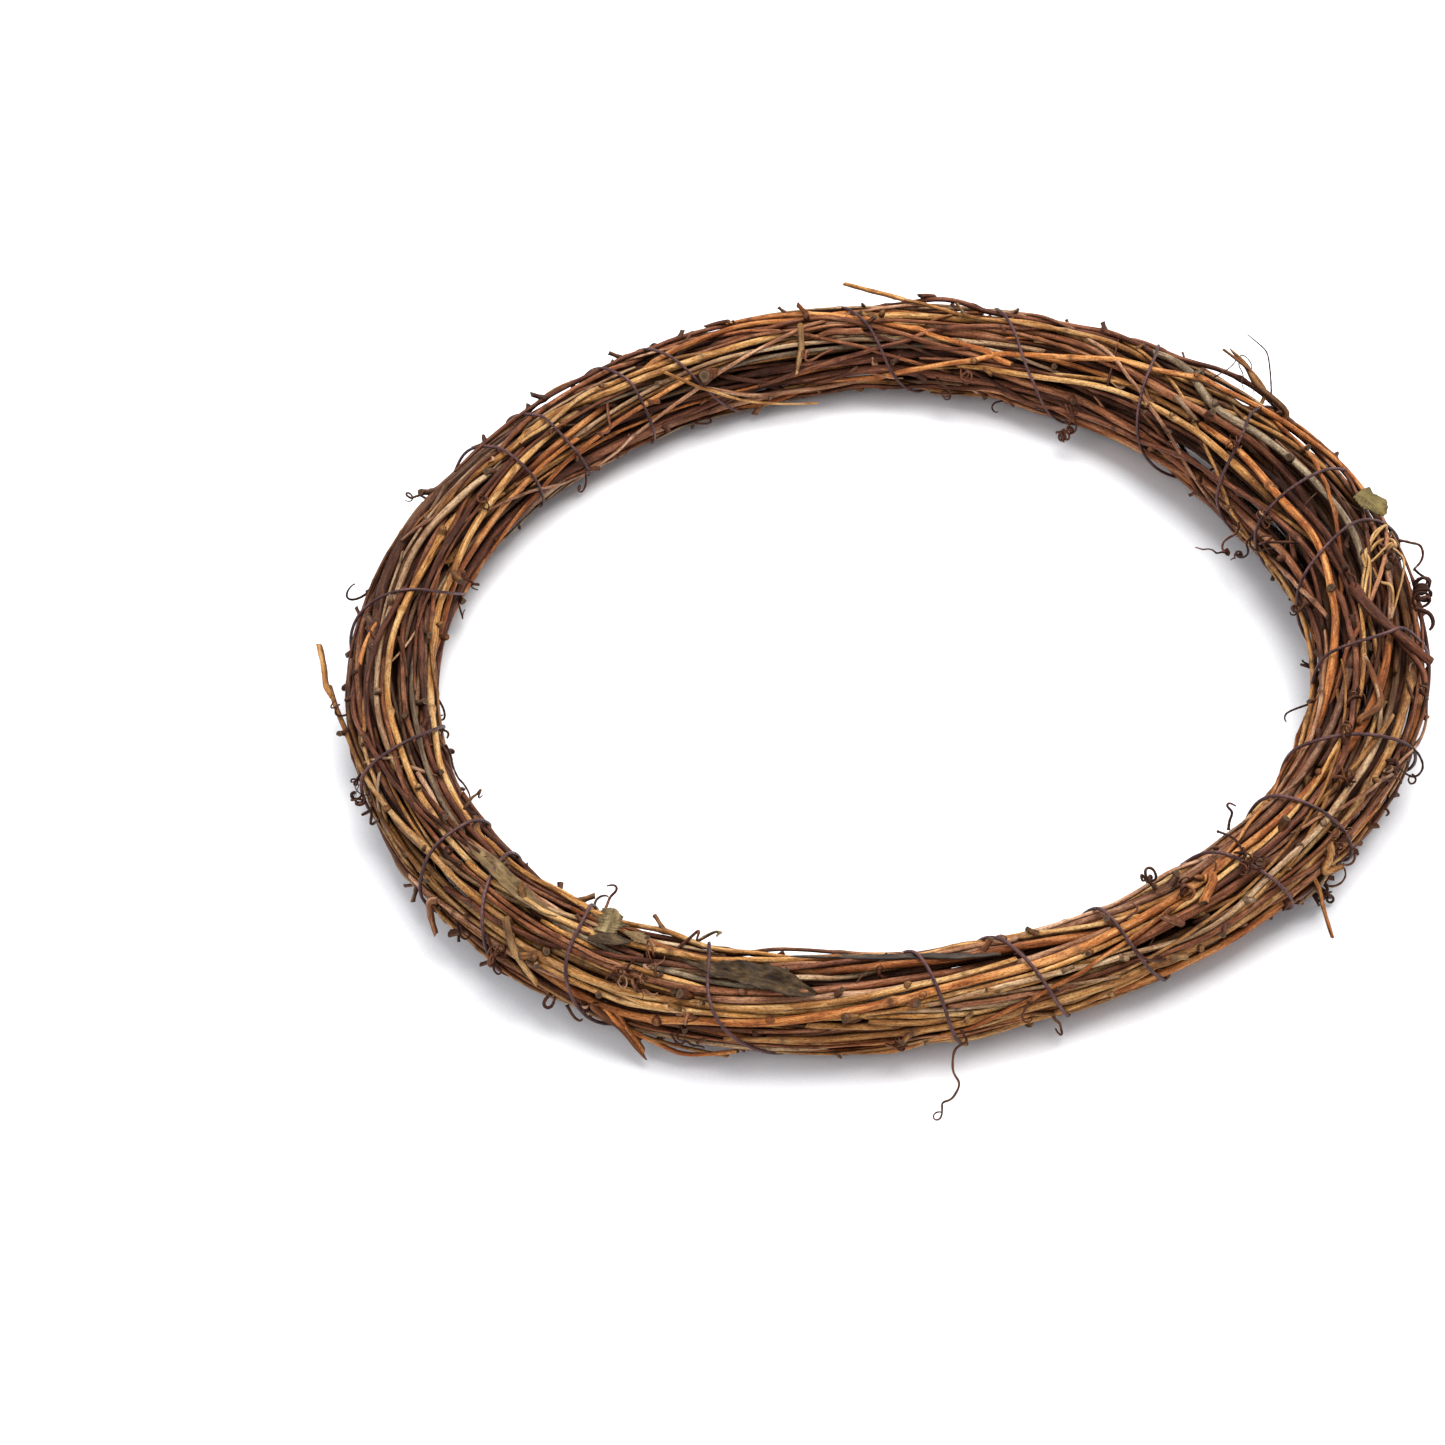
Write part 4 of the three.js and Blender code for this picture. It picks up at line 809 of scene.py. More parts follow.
def lay_wire():
    corners = wire_corners()
    edge = (corners[:-1] + corners[1:]) / 2
    knots = [corners[0]]
    for i in range(len(edge) - 1):
        knots += [edge[i], 0.5 * corners[i + 1] + 0.25 * (edge[i] + edge[i + 1])]
    line = eased(smooth_line(knots + [edge[-1], corners[-1]], 4), 6)
    out = outward_at(line)
    lift = np.full(len(line), WIRE_FROM)
    for i, p in enumerate(line):
        while lift[i] > WIRE_TO and room(p + out[i] * lift[i], WIRE_RADIUS) > -WIRE_SINKS:
            lift[i] -= WIRE_STEP
    # the stiff wire rests on what stands out and bridges the rest
    high = [np.sort(lift[max(0, i - STIFF):i + STIFF + 1])[-RESTS:].mean() for i in range(len(lift))]
    share = bell(np.arange(-2 * STIFF, 2 * STIFF + 1), STIFF)
    line = line + out * np.convolve(high, share / share.sum(), "same")[:, None]
    line[:, 2] = np.maximum(line[:, 2], WIRE_RADIUS)
    skin = Skin()
    skin.tube(line, WIRE_RADIUS, 8, 0.5, cut_ends=UNCUT)
    piece = skin.build("binding_wire_wrap", wire_material())
    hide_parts("binding_wire")
    return line


wire_line = lay_wire()
ball_points = np.concatenate([ball_points, wire_line])
ball_radii = np.concatenate([ball_radii, np.full(len(wire_line), WIRE_RADIUS)])
stems = ball_tree(ball_points)


# What grows on the stems
def turned(v, axis, angle):
    c, s = math.cos(angle), math.sin(angle)
    return v * c + np.cross(axis, v) * s + axis * (axis @ v) * (1 - c)


def scatter(draw, size=1):
    """A random vector."""
    return np.array([draw.gauss(0, size) for _ in range(3)])


def inside_box(p, margin=1.5 * MM):
    lo, hi = np.array(cad_box[0]) - margin, np.array(cad_box[1]) + margin
    return bool(np.all(p > lo) and np.all(p < hi) and np.all(p[:, 2] > 0.4 * MM))


def curl_path(draw, start, d, length, tight, step=0.9 * MM):
    """A dry tendril: nearly straight at first, then winding up."""
    axis = unit(np.cross(d, scatter(draw)))
    points, p = [start], start
    n = int(length / step)
    loose = draw.uniform(-40, 60)
    pitch = draw.uniform(0.08, 0.42)
    begin = draw.uniform(0.05, 0.45)
    for i in range(n):
        bend = loose + (tight - loose) * min(1, max(0, (i / n - begin) / 0.35)) ** 1.5
        d = unit(turned(d, axis, bend * step))
        axis = unit(axis + 0.05 * scatter(draw))
        axis = unit(axis - d * (d @ axis))
        p = p + step * (d * math.sqrt(1 - pitch ** 2) + axis * pitch)
        points.append(p)
    return np.array(points)


curls = Skin()


def add_curl(draw, root, length, tight, r):
    """Adds one tendril at root if some try of its route is free."""
    out, onward = outward_at(root), onward_at(root)
    for _ in range(9):
        x = draw.uniform(-1.3, 1.3)
        y = draw.uniform(-0.8, 0.8)
        d = unit(out * draw.uniform(0.15, 0.9) + onward * x + np.cross(out, onward) * y)
        path = curl_path(draw, root, d, length, tight)
        if not inside_box(path):
            continue
        if sum(room(p, r) < -0.1 * MM for p in path[5:]) > 0.12 * len(path):
            continue
        if np.max([room(p, 0) for p in path[::4]]) > draw.choice([1.5, 3, 6]) * MM:
            continue
        curls.tube(path, r * profile(path, (0, 1.5), (0.1, 1.1), (0.7, 0.9), (1, 0.5)), 6, draw.random(),
                   draw.uniform(0.0, 0.8), cut_ends=UNCUT, along=draw.random())
        return


# Share of cut-off shoots among the spurs, the rest are buds, and the thickest of them
CUT_SHARE = 0.65
THICKEST_SPUR = 1.3 * MM


def add_spur(skin, draw, root, r, tone):
    """A cut-off side shoot or dry bud at a joint."""
    out, onward = outward_at(root), onward_at(root)
    lean = draw.uniform(0.5, 1.1) * draw.choice([-1, 1])
    d = unit(out + onward * lean + np.cross(out, onward) * draw.uniform(-0.6, 0.6))
    if draw.random() < CUT_SHARE:
        size = min(r * draw.uniform(0.6, 0.95), THICKEST_SPUR)
        length = draw.uniform(1.6, 5.5) * MM
        path = root + d * np.array([0, r * 0.8, r + length * 0.4, r + length * 0.75, r + length])[:, None]
        path = smooth_line(path + onward * lean * np.array([0, 0, 0.1, 0.2, 0.45])[:, None] * MM, 2)
        radii = size * profile(path, (0, 1.5), (0.3, 1.3), (0.5, 0.95), (0.9, 1.0), (1, 1.12))
        mark = profile(path, (0, 0.7), (0.35, 0.9), (0.6, 0.4), (1, 0.8))
        skin.tube(path, radii, 8, tone, mark, ridge=0.09, cut_ends=CUT_FAR, bevel=draw.uniform(0.1, 0.7),
                  along=draw.random())
    else:
        size = r * draw.uniform(0.55, 0.8)
        length = draw.uniform(1.6, 3.0) * MM
        path = smooth_line(root + d * (np.array([0, 0.5, 0.85, 1.0]) * (r + length))[:, None], 3)
        radii = size * profile(path, (0, 1.3), (0.35, 1.35), (0.55, 1.1), (0.8, 0.8), (0.93, 0.45), (1, 0.12))
        mark = profile(path, (0, 0.4), (0.4, 0.95), (0.55, 0.5), (0.8, 0.8), (1, 0.6))
        skin.tube(path, radii, 8, tone, mark, ridge=0.08, cut_ends=UNCUT, along=draw.random())


def near_surface(p, r, slack=2.6 * MM):
    a, u, v = section_of(p)
    return math.hypot(u, v) + r > bundle_at(a) - slack


# Shares of the joints with a spur, on the frame's canes and on thin ones, and with a tendril
SPUR_ON_CANE = 0.58
SPUR_ON_THIN = 0.38
CURL_SHARE = 0.03
# A joint's swelling on the side of its bud: place past the joint, length, width round the stem, size
BUD_AT = 0.8 * MM
BUD_LONG = 1.9 * MM
BUD_WIDE = 0.6
BUD_SIZE = 0.40


def dress(strand, skin):
    """The stem's skin with its joints, spurs and tendrils."""
    draw = strand.draw
    turn = draw.uniform(0, 6.28)
    s, joints = strand.s, strand.joints

    def bump(i, w):
        out = np.ones_like(w)
        for j, x in enumerate(joints):
            d = (s[i] - x - BUD_AT) / BUD_LONG
            if abs(d) < 2.2:
                side = turn + (math.pi if j % 2 else 0)
                out += BUD_SIZE * math.exp(-d * d) * bell(np.angle(np.exp(1j * (w - side))), BUD_WIDE)
        return out

    big = strand.cane is not None
    radii = strand.radii.copy()
    if not big:
        radii *= np.interp(s, [0, 3 * MM, s[-1] - 14 * MM, s[-1]], [0.8, 1, 1, 0.62])
    skin.tube(strand.line, radii, 9 if big else 7, strand.tone, strand.mark, outward_at(strand.line),
              twist=draw.uniform(-90, 90), ridge=0.035, bump=bump, bevel=draw.uniform(0.2, 1.2),
              along=draw.random())
    for x in joints:
        i = int(np.searchsorted(s, x))
        p, r = strand.line[i], strand.plain[i]
        if not near_surface(p, r):
            continue
        kind = draw.random()
        if kind < (SPUR_ON_CANE if big else SPUR_ON_THIN):
            add_spur(skin, draw, p, r, strand.tone)
        if kind < CURL_SHARE:
            add_curl(draw, p, draw.uniform(8, 24) * MM, draw.uniform(300, 800), draw.uniform(0.36, 0.55) * MM)


def is_seen_there(p):
    """Whether a tendril read from the photo stands at p already."""
    return any(np.linalg.norm(surface(*route[0]) - p) < 26 * MM for _, _, route in TENDRILS)


def add_frame_shoot(skin, strand, points, sides):
    """A tendril or bud that the frame's cane carries, rooted in the finer stem."""
    draw = strand.draw
    root = strand.line[np.argmin(np.linalg.norm(strand.line - points[0], axis=1))]
    points = np.concatenate([[root], points])
    if sides <= 3 and len(points) > 8 and not is_seen_there(points[1]):
        line = smooth_line(points, 4)
        radii = profile(line, (0, 0.72), (0.15, 0.60), (0.6, 0.48), (1, 0.22)) * MM * draw.uniform(0.85, 1.1)
        skin.tube(line, radii, 6, strand.tone * 0.5, 0.8, cut_ends=UNCUT, along=draw.random())
    elif len(points) <= 5:
        line = smooth_line(points, 5)
        size = draw.uniform(0.95, 1.2) * MM
        radii = size * profile(line, (0, 1.1), (0.3, 1.15), (0.55, 1.2), (0.8, 0.95), (0.93, 0.6), (1.0, 0.2))
        mark = profile(line, (0, 0.2), (0.4, 0.9), (0.6, 0.4), (1, 0.7))
        skin.tube(line, radii, 8, strand.tone, mark, ridge=0.06, cut_ends=UNCUT, along=draw.random())


# Tendrils seen in the photo: radius in mm, turns wound at the end, route over the bundle
TENDRILS = (
    (0.62, 0, [(0.3, 38, 0), (0.2, 33, 2.2), (0, 30, 3.4), (359.9, 27, 5.5), (359.6, 24, 6.1),
     (359.1, 20, 5.4), (358.6, 18, 3.8), (358.1, 18, 1.6), (356.6, 30, 0.8)]),
    (0.6, 0, [(356.6, 30, 0.6), (355.3, 31, 2.2), (355.1, 27, 3.5), (354.8, 24, 3.6), (354.5, 23, 2.1),
     (354.2, 30, 1.4)]),
    (1.05, 0, [(349.2, 48, 0.0), (349.0, 43, 1.8), (348.8, 38, 3.4), (348.4, 33, 3.6), (347.9, 29, 2.6),
     (347.5, 30, 1.0)]),
    (0.55, 2.6, [(14.1, 180, 0), (13.4, 190, 1.8), (13.4, 191, 5.3), (13.1, 192, 8.4), (12.5, 195, 9.9)]),
    (0.52, 2.2, [(9.6, 174, 0), (9.0, 179, 4.3), (8.4, 182, 4.0), (7.8, 185, 4.8), (7.5, 186, 6.8),
     (7.8, 185, 9.2)]),
    (0.42, 0, [(10.4, 178, 0), (9.8, 185, 1.6), (9.2, 187, 1.6), (7.5, 183, 1.2), (5.5, 170, 1.2),
     (3.7, 160, 1.0)]),
    (0.6, 0, [(311.7, 146, 0), (312.6, 144, 2.7), (313.5, 141, 4.3), (313.4, 141, 5.8), (313.3, 142, 7.4),
     (313.6, 141, 8.2), (314, 140, 7), (314, 139, 5.3), (314.2, 138, 5)]),
    (0.5, 0, [(310.9, 150, 2.4), (309.9, 124, 1.2), (309.4, 106, 1.0), (308.5, 88, 1.4), (308.6, 79, 1.6),
     (309.1, 70, 1.2)]),
    (0.36, 0, [(305.7, 112, 1), (305.5, 100, 1.2), (305, 91, 1.2), (304.1, 87, 1.4), (303.4, 89, 1.2)]),
    (0.5, 0, [(332.5, 27, 0.5), (332.0, 21, 0.9), (332.2, 17, 2.7), (331.8, 11, 4.5), (331.4, 6, 5.4),
     (330.8, 3, 4.8), (330.4, 2, 3.5), (330.3, 4, 1.6), (329.5, 17, 0.8), (329.2, 25, 0.4)]),
    (0.5, 0, [(330.6, 1, 3.6), (332, 349, 1.9), (331.8, 347, 4.2), (331.3, 343, 3.4), (331.4, 345, 1.4),
     (332.0, 350, 1.4)]),
    (0.62, 1.2, [(298.2, 107, 0), (297.9, 113, 3.3), (297.8, 116, 5.5), (298.1, 118, 7.7),
     (298.7, 117, 7.7), (298.9, 114, 6.1), (298.8, 112, 4.1)]),
    (0.6, 0, [(298.7, 112, 0.4), (298.0, 120, 3.0), (297.8, 123, 6.5), (297.6, 122, 4.5), (297.5, 121, 2.5),
     (298.2, 121, 4.5)]),
    (0.55, 0, [(319.2, 2, 0), (319.6, 360, 1.0), (319.8, 359, 2.0), (319.6, 357, 2.9), (319.3, 356, 2.5),
     (319.3, 358, 1.2)]),
    (0.55, 0, [(320.4, 351, 0), (319.8, 343, 2.3), (319.3, 341, 2.6), (318.9, 339, 1.4),
     (318.1, 350, 0.8)]),
    (0.55, 0, [(317.9, 352, 0), (316.7, 359, 1.0), (315.9, 350, 1.0), (315.8, 337, 0.9), (315.9, 337, 3.1),
     (316.7, 340, 4.7), (317.5, 344, 4.2), (317.8, 348, 2.5), (317.8, 352, 0.9)]),
    (0.62, 2.0, [(316.0, 334, 0.6), (315.9, 332, 3.4), (315.2, 329, 4.4), (314.7, 327, 2.5)]),
    (0.55, 0, [(325.3, 5, 0.4), (325.5, 3, 1.7), (325.3, 0, 2.7), (325, 358, 2.7), (324.9, 360, 1.3)]),
    (0.5, 0.7, [(194.7, 20, 0.2), (195.2, 10, 2.4), (195.2, 8, 3.6), (195.5, 5, 3.5), (195.5, 7, 2.3)]),
    (0.75, 0, [(200, 14, 0), (200, 9, 2.6), (199.9, 6, 5.3)]),
    (0.65, 0, [(199, 6, 0), (199.9, 1, 1.0), (199.9, 354, 1.9), (200.2, 350, 2.8), (200.2, 351, 1.0),
     (202.4, 21, 0.4)]),
    (0.55, 0.6, [(183.3, 176, 0), (184.0, 184, 1.4), (184.6, 189, 2.4), (185.4, 195, 2.8)]),
    (0.6, 0, [(190.1, 172, 0), (190.3, 174, 2.0), (190.5, 176, 2.9), (190.8, 178, 2.8), (191.1, 182, 1.1)]),
    (0.5, 0, [(193.8, 163, 0.5), (194.2, 166, 1.0), (195.5, 169, 1.2), (199.5, 152, 1.4), (202, 148, 1.6),
     (203, 151, 2.0), (204.7, 154, 1.6), (207.5, 141, 0.6)]),
    (0.5, 0.5, [(218.8, 10, 0), (219.3, 3, 0.9), (219.8, 357, 1.7), (220.1, 355, 1.5)]),
    (0.55, 0, [(223.3, 28, 0.4), (224.1, 15, 1.0), (224.9, 5, 1.8), (225.2, 358, 3.9), (225.8, 353, 4.5),
     (226.1, 353, 3.2), (225.8, 357, 2.1)]),
    (0.75, 0, [(231.6, 350, 0), (231.2, 345, 2.1), (231.1, 343, 4), (231.4, 341, 5), (231.9, 339, 4),
     (231.9, 341, 1.8), (232, 348, 0.2)]),
    (0.65, 0, [(233, 336, 0.4), (233.7, 325, 3.0), (234.4, 322, 3.9), (234.7, 321, 3.7),
     (234.5, 322, 2.2)]),
    (0.6, 0, [(232.3, 138, 0), (232.1, 144, 2.6), (231.9, 145, 4.8), (232.0, 145, 6.0), (232.3, 146, 7.6),
     (232.3, 145, 9.5), (231.8, 144, 9.7), (231.0, 142, 7.9)]),
    (0.55, 0, [(230.9, 140, 0), (230.4, 145, 2.3), (230.7, 146, 4.1), (231.2, 147, 5.4),
     (231.7, 149, 5.0)]),
    (0.5, 0, [(273, 3, 0), (273.3, 355, 1.7), (273.6, 350, 3.7), (272.8, 349, 4.0), (272.1, 345, 5.6),
     (271.8, 338, 11.3), (272.3, 335, 15), (271.7, 334, 18.4), (271.2, 335, 20.0), (270.5, 337, 20.6),
     (270.3, 341, 22.4), (270.2, 344, 25.2), (270.0, 344, 27.6), (269.5, 344, 28.0), (269.3, 344, 26.4),
     (269.8, 344, 24.8), (270.3, 345, 26.0)]),
    (0.42, 0, [(26.6, 48, 0), (27.9, 43, 3.1), (28.8, 43, 6.4), (30.5, 40, 11.3), (32.7, 36, 17),
     (34.2, 36, 18.6), (36.3, 37, 20)]),
    (0.3, 0, [(33.9, 75, 0.4), (33.6, 58, 5.1), (34.3, 46, 11), (32.2, 47, 9.3), (31.2, 52, 5.6),
     (30.1, 51, 4.2), (28.9, 58, 0.4)]),
    (0.3, 0, [(34.0, 48, 10.4), (33.2, 53, 7.0), (31.7, 55, 4.6), (31.1, 60, 2.4), (29.6, 65, 0.4)]),
    (0.55, 2.6, [(51.8, 180, 0), (50.4, 195, 2.8), (50, 198, 3.5), (49.8, 200, 6.2), (50.4, 200, 8.2)]),
    (0.45, 0, [(52.6, 180, 0.4), (51.9, 188, 1.4), (51.2, 192, 1.8), (50.5, 189, 1.2), (50.4, 180, 0.6)]),
    (0.5, 0, [(244.5, 350, 0), (245.2, 341, 2.0), (245.7, 339, 2.3), (245.9, 344, 0.9), (246.3, 343, 0.9),
     (246.7, 337, 1.7), (247.4, 337, 1.0), (248, 334, 1.7)]),
    (0.6, 0, [(265.4, 350, 0), (266.3, 347, 1.0), (267, 345, 1.7), (267.9, 347, 1.0)]),
)

# Tight coils: both ends of the coil's middle line, coil radius and wire radius in mm, turns
COILS = (
    ((353.7, 36, 2.6), (350.0, 43, 2.6), 2.7, 0.55, 7),
    ((315.6, 331, 3.2), (314.2, 327, 2.6), 2.2, 0.50, 4),
    ((50.9, 201, 8.6), (51.6, 199, 11.4), 1.9, 0.45, 5),
)

# Tangles of small dry curls: ring and section angle, radius of the tangle in mm, curls
TANGLES = (
    (307.4, 74, 4.5, 9), (317.8, 26, 4.0, 8), (315.8, 14, 3.5, 6), (328, 32, 4.0, 7), (322.8, 68, 3.5, 6),
    (239, 58, 5.0, 9), (241.3, 50, 4.5, 8), (242, 74, 4.0, 6), (235.6, 352, 4.0, 7), (300, 80, 3.5, 5),
    (225.4, 18, 3.5, 5), (197.5, 6, 3.5, 6), (9.5, 150, 4.5, 6), (356.5, 60, 4.0, 5), (267, 352, 3.5, 5),
    (334, 96, 4.0, 6), (22, 124, 4.0, 5), (265.3, 83, 3.0, 3), (246.7, 28, 3.5, 4), (150, 128, 3.5, 4),
)

# Cut stubs with a pale face: ring and section angle, radius in mm
STUBS = (
    (107.0, 143, 2.8), (262.4, 36, 1.6), (255.3, 113, 1.5), (246.0, 48, 1.7), (244.8, 49, 1.2),
    (268.3, 46, 1.5), (313.9, 83, 1.6), (314, 54, 1.4), (319.5, 44, 1.5), (321.4, 106, 1.4),
    (56.1, 141, 1.2), (315.6, 86, 1.2), (295.2, 132, 1.8), (253.4, 2, 1.5), (281, 96, 1.3), (230, 44, 1.3),
    (346, 112, 1.5), (12, 128, 1.4), (86, 118, 1.3), (171, 98, 1.3), (205, 72, 1.4), (130, 104, 1.2),
    (300.5, 40, 1.5), (30.5, 128, 1.4),
)


def end_coil(points, turns, draw):
    """The route wound up further at its end."""
    step = 0.45 * MM
    d = unit(points[-1] - points[-3])
    axis = unit(np.cross(points[-2] - points[-5], points[-1] - points[-2]) + 1e-12)
    wide, p, out = draw.uniform(1.2, 1.6) * MM, points[-1], []
    for _ in range(int(1.5 * turns * 2 * math.pi * wide / step)):
        d = unit(turned(d, axis, step / wide))
        axis = unit(axis + 0.14 * scatter(draw))
        p = p + step * (d + 0.16 * axis)
        wide = max(1.0 * MM, wide * 0.996)
        out.append(p)
    return np.concatenate([points, out])


def clear_height(deg, phi, h, r):
    """A height from h upwards at which a tendril is not inside a stem."""
    top = h + 3
    while 0.3 < h < top and room(surface(deg, phi, h), r) < -0.3 * MM:
        h += HIGHER
    return h


def above_floor(points, r):
    points[:, 2] = np.maximum(points[:, 2], r + 0.2 * MM)
    return points


EVEN_STEP = 0.5 * MM


def rounded(points, over):
    """The route with its corners eased over a given length, at even steps."""
    s = lengths(points)
    t = np.linspace(0, s[-1], max(8, int(s[-1] / EVEN_STEP)))
    return eased(points_at(t, s, points), max(1, int(over / EVEN_STEP)))


DRAWN_TENDRIL = 0.8


def add_tendrils():
    draw = random.Random(61)
    for size, turns, route in TENDRILS:
        r = DRAWN_TENDRIL * size
        line = smooth_line([surface(d, p, clear_height(d, p, h, r * MM)) for d, p, h in route], 6)
        line = rounded(line, 1.3 * MM)
        if turns:
            line = end_coil(line, turns, draw)
        line = above_floor(rounded(line, 1.1 * MM), r * MM)
        uneven = 1 + 0.08 * np.sin(np.linspace(0, 1, len(line)) * 60 + r * 50)
        radii = r * MM * profile(line, (0, 1.5), (0.06, 1.1), (0.7, 0.95), (1, 0.6)) * uneven
        curls.tube(line, radii, 7, draw.uniform(0, 0.6), draw.uniform(0, 0.5), cut_ends=UNCUT,
                   along=draw.random())


def add_coils(steps=14):
    """Coils of uneven width, with so many steps a turn."""
    for start, end, wide, r, turns in COILS:
        p0, p1 = surface(*start), surface(*end)
        axis = unit(p1 - p0)
        side = unit(np.cross(axis, (0.2, 0.3, 0.9)))
        other = np.cross(axis, side)
        line = []
        for i in range(turns * steps):
            w = i / steps * 2 * math.pi
            size = wide * MM * (1 + 0.22 * math.sin(i * 0.31) + 0.1 * math.sin(i * 0.83))
            off = size * (math.cos(w) * side + math.sin(w) * other)
            line.append(p0 + (p1 - p0) * i / (turns * steps) + off + axis * 0.5 * MM * math.sin(w * 1.5))
        curls.tube(above_floor(np.array(line), r * MM), r * MM, 7, 0.2, 0.2, cut_ends=UNCUT)


def add_tangles():
    """Knots of dry curls and bits of shoot lying on the canes."""
    draw = random.Random(62)
    for deg, phi, wide, count in TANGLES:
        centre = surface(deg, phi, 1.2 + perch(deg, phi, 0.5 * MM))
        reach = wide * MM
        for _ in range(count):
            p = centre + scatter(draw, 0.4) * wide * MM
            d = unit(scatter(draw))
            axis = unit(np.cross(d, outward_at(p) + 0.3 * d))
            bend, step, points = draw.uniform(220, 620), 0.5 * MM, []
            for _ in range(draw.randint(12, 34)):
                points.append(p)
                home = centre - p
                d = unit(turned(d, axis, bend * step) + 0.16 * home / reach * (np.linalg.norm(home) > reach))
                if room(p, 0.4 * MM) < 0:
                    d = unit(d + 0.5 * outward_at(p))
                axis = unit(axis + 0.12 * scatter(draw))
                p = p + step * d
            r = draw.choice([0.22, 0.3, 0.4, 0.6]) * MM
            skin = thin_skin("cane_" + draw.choice(["dark", "red", "red", "tan"]))
            radii = r * profile(points, (0, 1.1), (0.7, 0.9), (1, 0.4))
            skin.tube(above_floor(np.array(points), r), radii, 6, draw.uniform(0.0, 0.45), 0.1, ridge=0.08,
                      along=draw.random())


def add_stubs():
    draw = random.Random(63)
    for deg, phi, r in STUBS:
        p = surface(deg, phi, perch(deg, phi, r * MM, 1.2))
        d = unit(outward_at(p) + onward_at(p) * draw.uniform(0.5, 1.3) * draw.choice([-1, 1]))
        line = smooth_line(p + d * (np.array([-1.6, 0, 0.9, 1.7, 2.3]) * r * MM)[:, None], 3)
        radii = r * MM * profile(line, (0, 0.7), (0.4, 1.0), (0.6, 1.12), (0.8, 0.98), (0.94, 1.1), (1, 0.92))
        mark = profile(line, (0, 0.1), (0.5, 0.3), (0.62, 0.9), (0.8, 0.3), (0.95, 0.8))
        skin = thin_skin("cane_" + draw.choice(["tan", "red", "golden"]))
        skin.tube(line, radii, 10, draw.random() * 0.5, mark, ridge=0.08, cut_ends=CUT_FAR, bevel=0.15,
                  along=draw.random())


# Twigs seen in the photo: route over the bundle, radii in mm at both ends. The first two grow on
# one pale cane. They and the last three, a peeled shoot and two cane ends, are pale.
TWIGS = (
    ([(351, 106, 0.2), (347.5, 98, 1.8), (344.8, 85, 2), (343.2, 68, 2), (342.4, 50, 2.2),
     (342.6, 33, 2.8)], 2.4, 1.8),
    ([(343.0, 62, 1.2), (341.6, 48, 1.0), (339.6, 33, 1.6)], 1.7, 1.2),
    ([(215.4, 22, 0), (214.8, 10, 1.8), (215.6, -4, 3.8), (216.8, -16, 6.2)], 1.6, 1.0),
    ([(314.6, 2, 0), (314.2, -12, 1.6), (313.6, -20, 6), (312.8, -24, 12), (312.2, -26, 17)], 0.9, 0.7),
    ([(238.6, -4, 0), (239.8, -14, 1), (241, -24, 3.5), (242.0, -31, 6.5)], 1.3, 1.1),
    ([(26.6, 50, 0), (28.1, 49, 2.2), (29, 52, 4.8), (31, 54, 7.2), (33, 55, 8.4),
     (36, 56, 10)], 0.95, 0.6),
    ([(92.5, 118, 0), (93, 136, 1.3), (93.6, 152, 1.3), (94.2, 170, 1.2)], 0.8, 0.7),
    ([(304.6, 86, 0), (303.4, 78, 2.0), (302, 69, 2.4), (300.6, 60, 2.8)], 1.8, 1.7),
    ([(297, 46, 0), (297.6, 52, 2.4), (296.6, 60, 3.2), (296, 67, 3.6)], 1.4, 1.3),
    ([(91, 120, 0), (89, 121, 1.7), (86.6, 122, 1.8), (84, 123, 1.6)], 1.2, 1.4),
    ([(331, 64, 0), (333.5, 74, 1.6), (337, 88, 1.8), (339.6, 98, 1.6)], 0.9, 0.8),
    ([(317, 30, 0), (315.6, 22, 2), (314, 16, 3), (316.4, 8, 4.4)], 1.7, 1.2),
    ([(225, 46, 0), (227, 34, 1.8), (229, 18, 2), (230.6, 6, 2.2)], 1.3, 1.2),
    ([(113.5, 130, 0.6), (111.5, 139, 1.7), (109.6, 152, 2), (107.6, 162, 3), (103.1, 182, 4.8),
     (97.2, 198, 5.9), (91.3, 205, 7)], 0.75, 0.55),
    ([(237.4, 10, 0), (239.4, -8, 1.8), (240.1, -18, 1.4), (242.1, -27, 2.2), (243.8, -32, 3.3),
     (245.4, -33, 4.2), (247, -34, 3.7), (248.9, -33, 2.3), (251, -36, 0.6)], 1.05, 0.75),
    ([(181.8, 6, 7.0), (179.8, 6, 8.8), (177.1, 8, 10.3), (174.2, 10, 13.2)], 1.25, 1.35),
    ([(78.5, 64, 2.5), (80.6, 65, 4.0), (83.4, 57, 6.4), (86.3, 42, 10.4)], 1.25, 1.0),
)
PALE_CANE = "cane_26"
ON_PALE_CANE = 2
FIRST_PALE_END = 14
PALE_TONE = 0.95
DRAWN_TWIG = 0.92


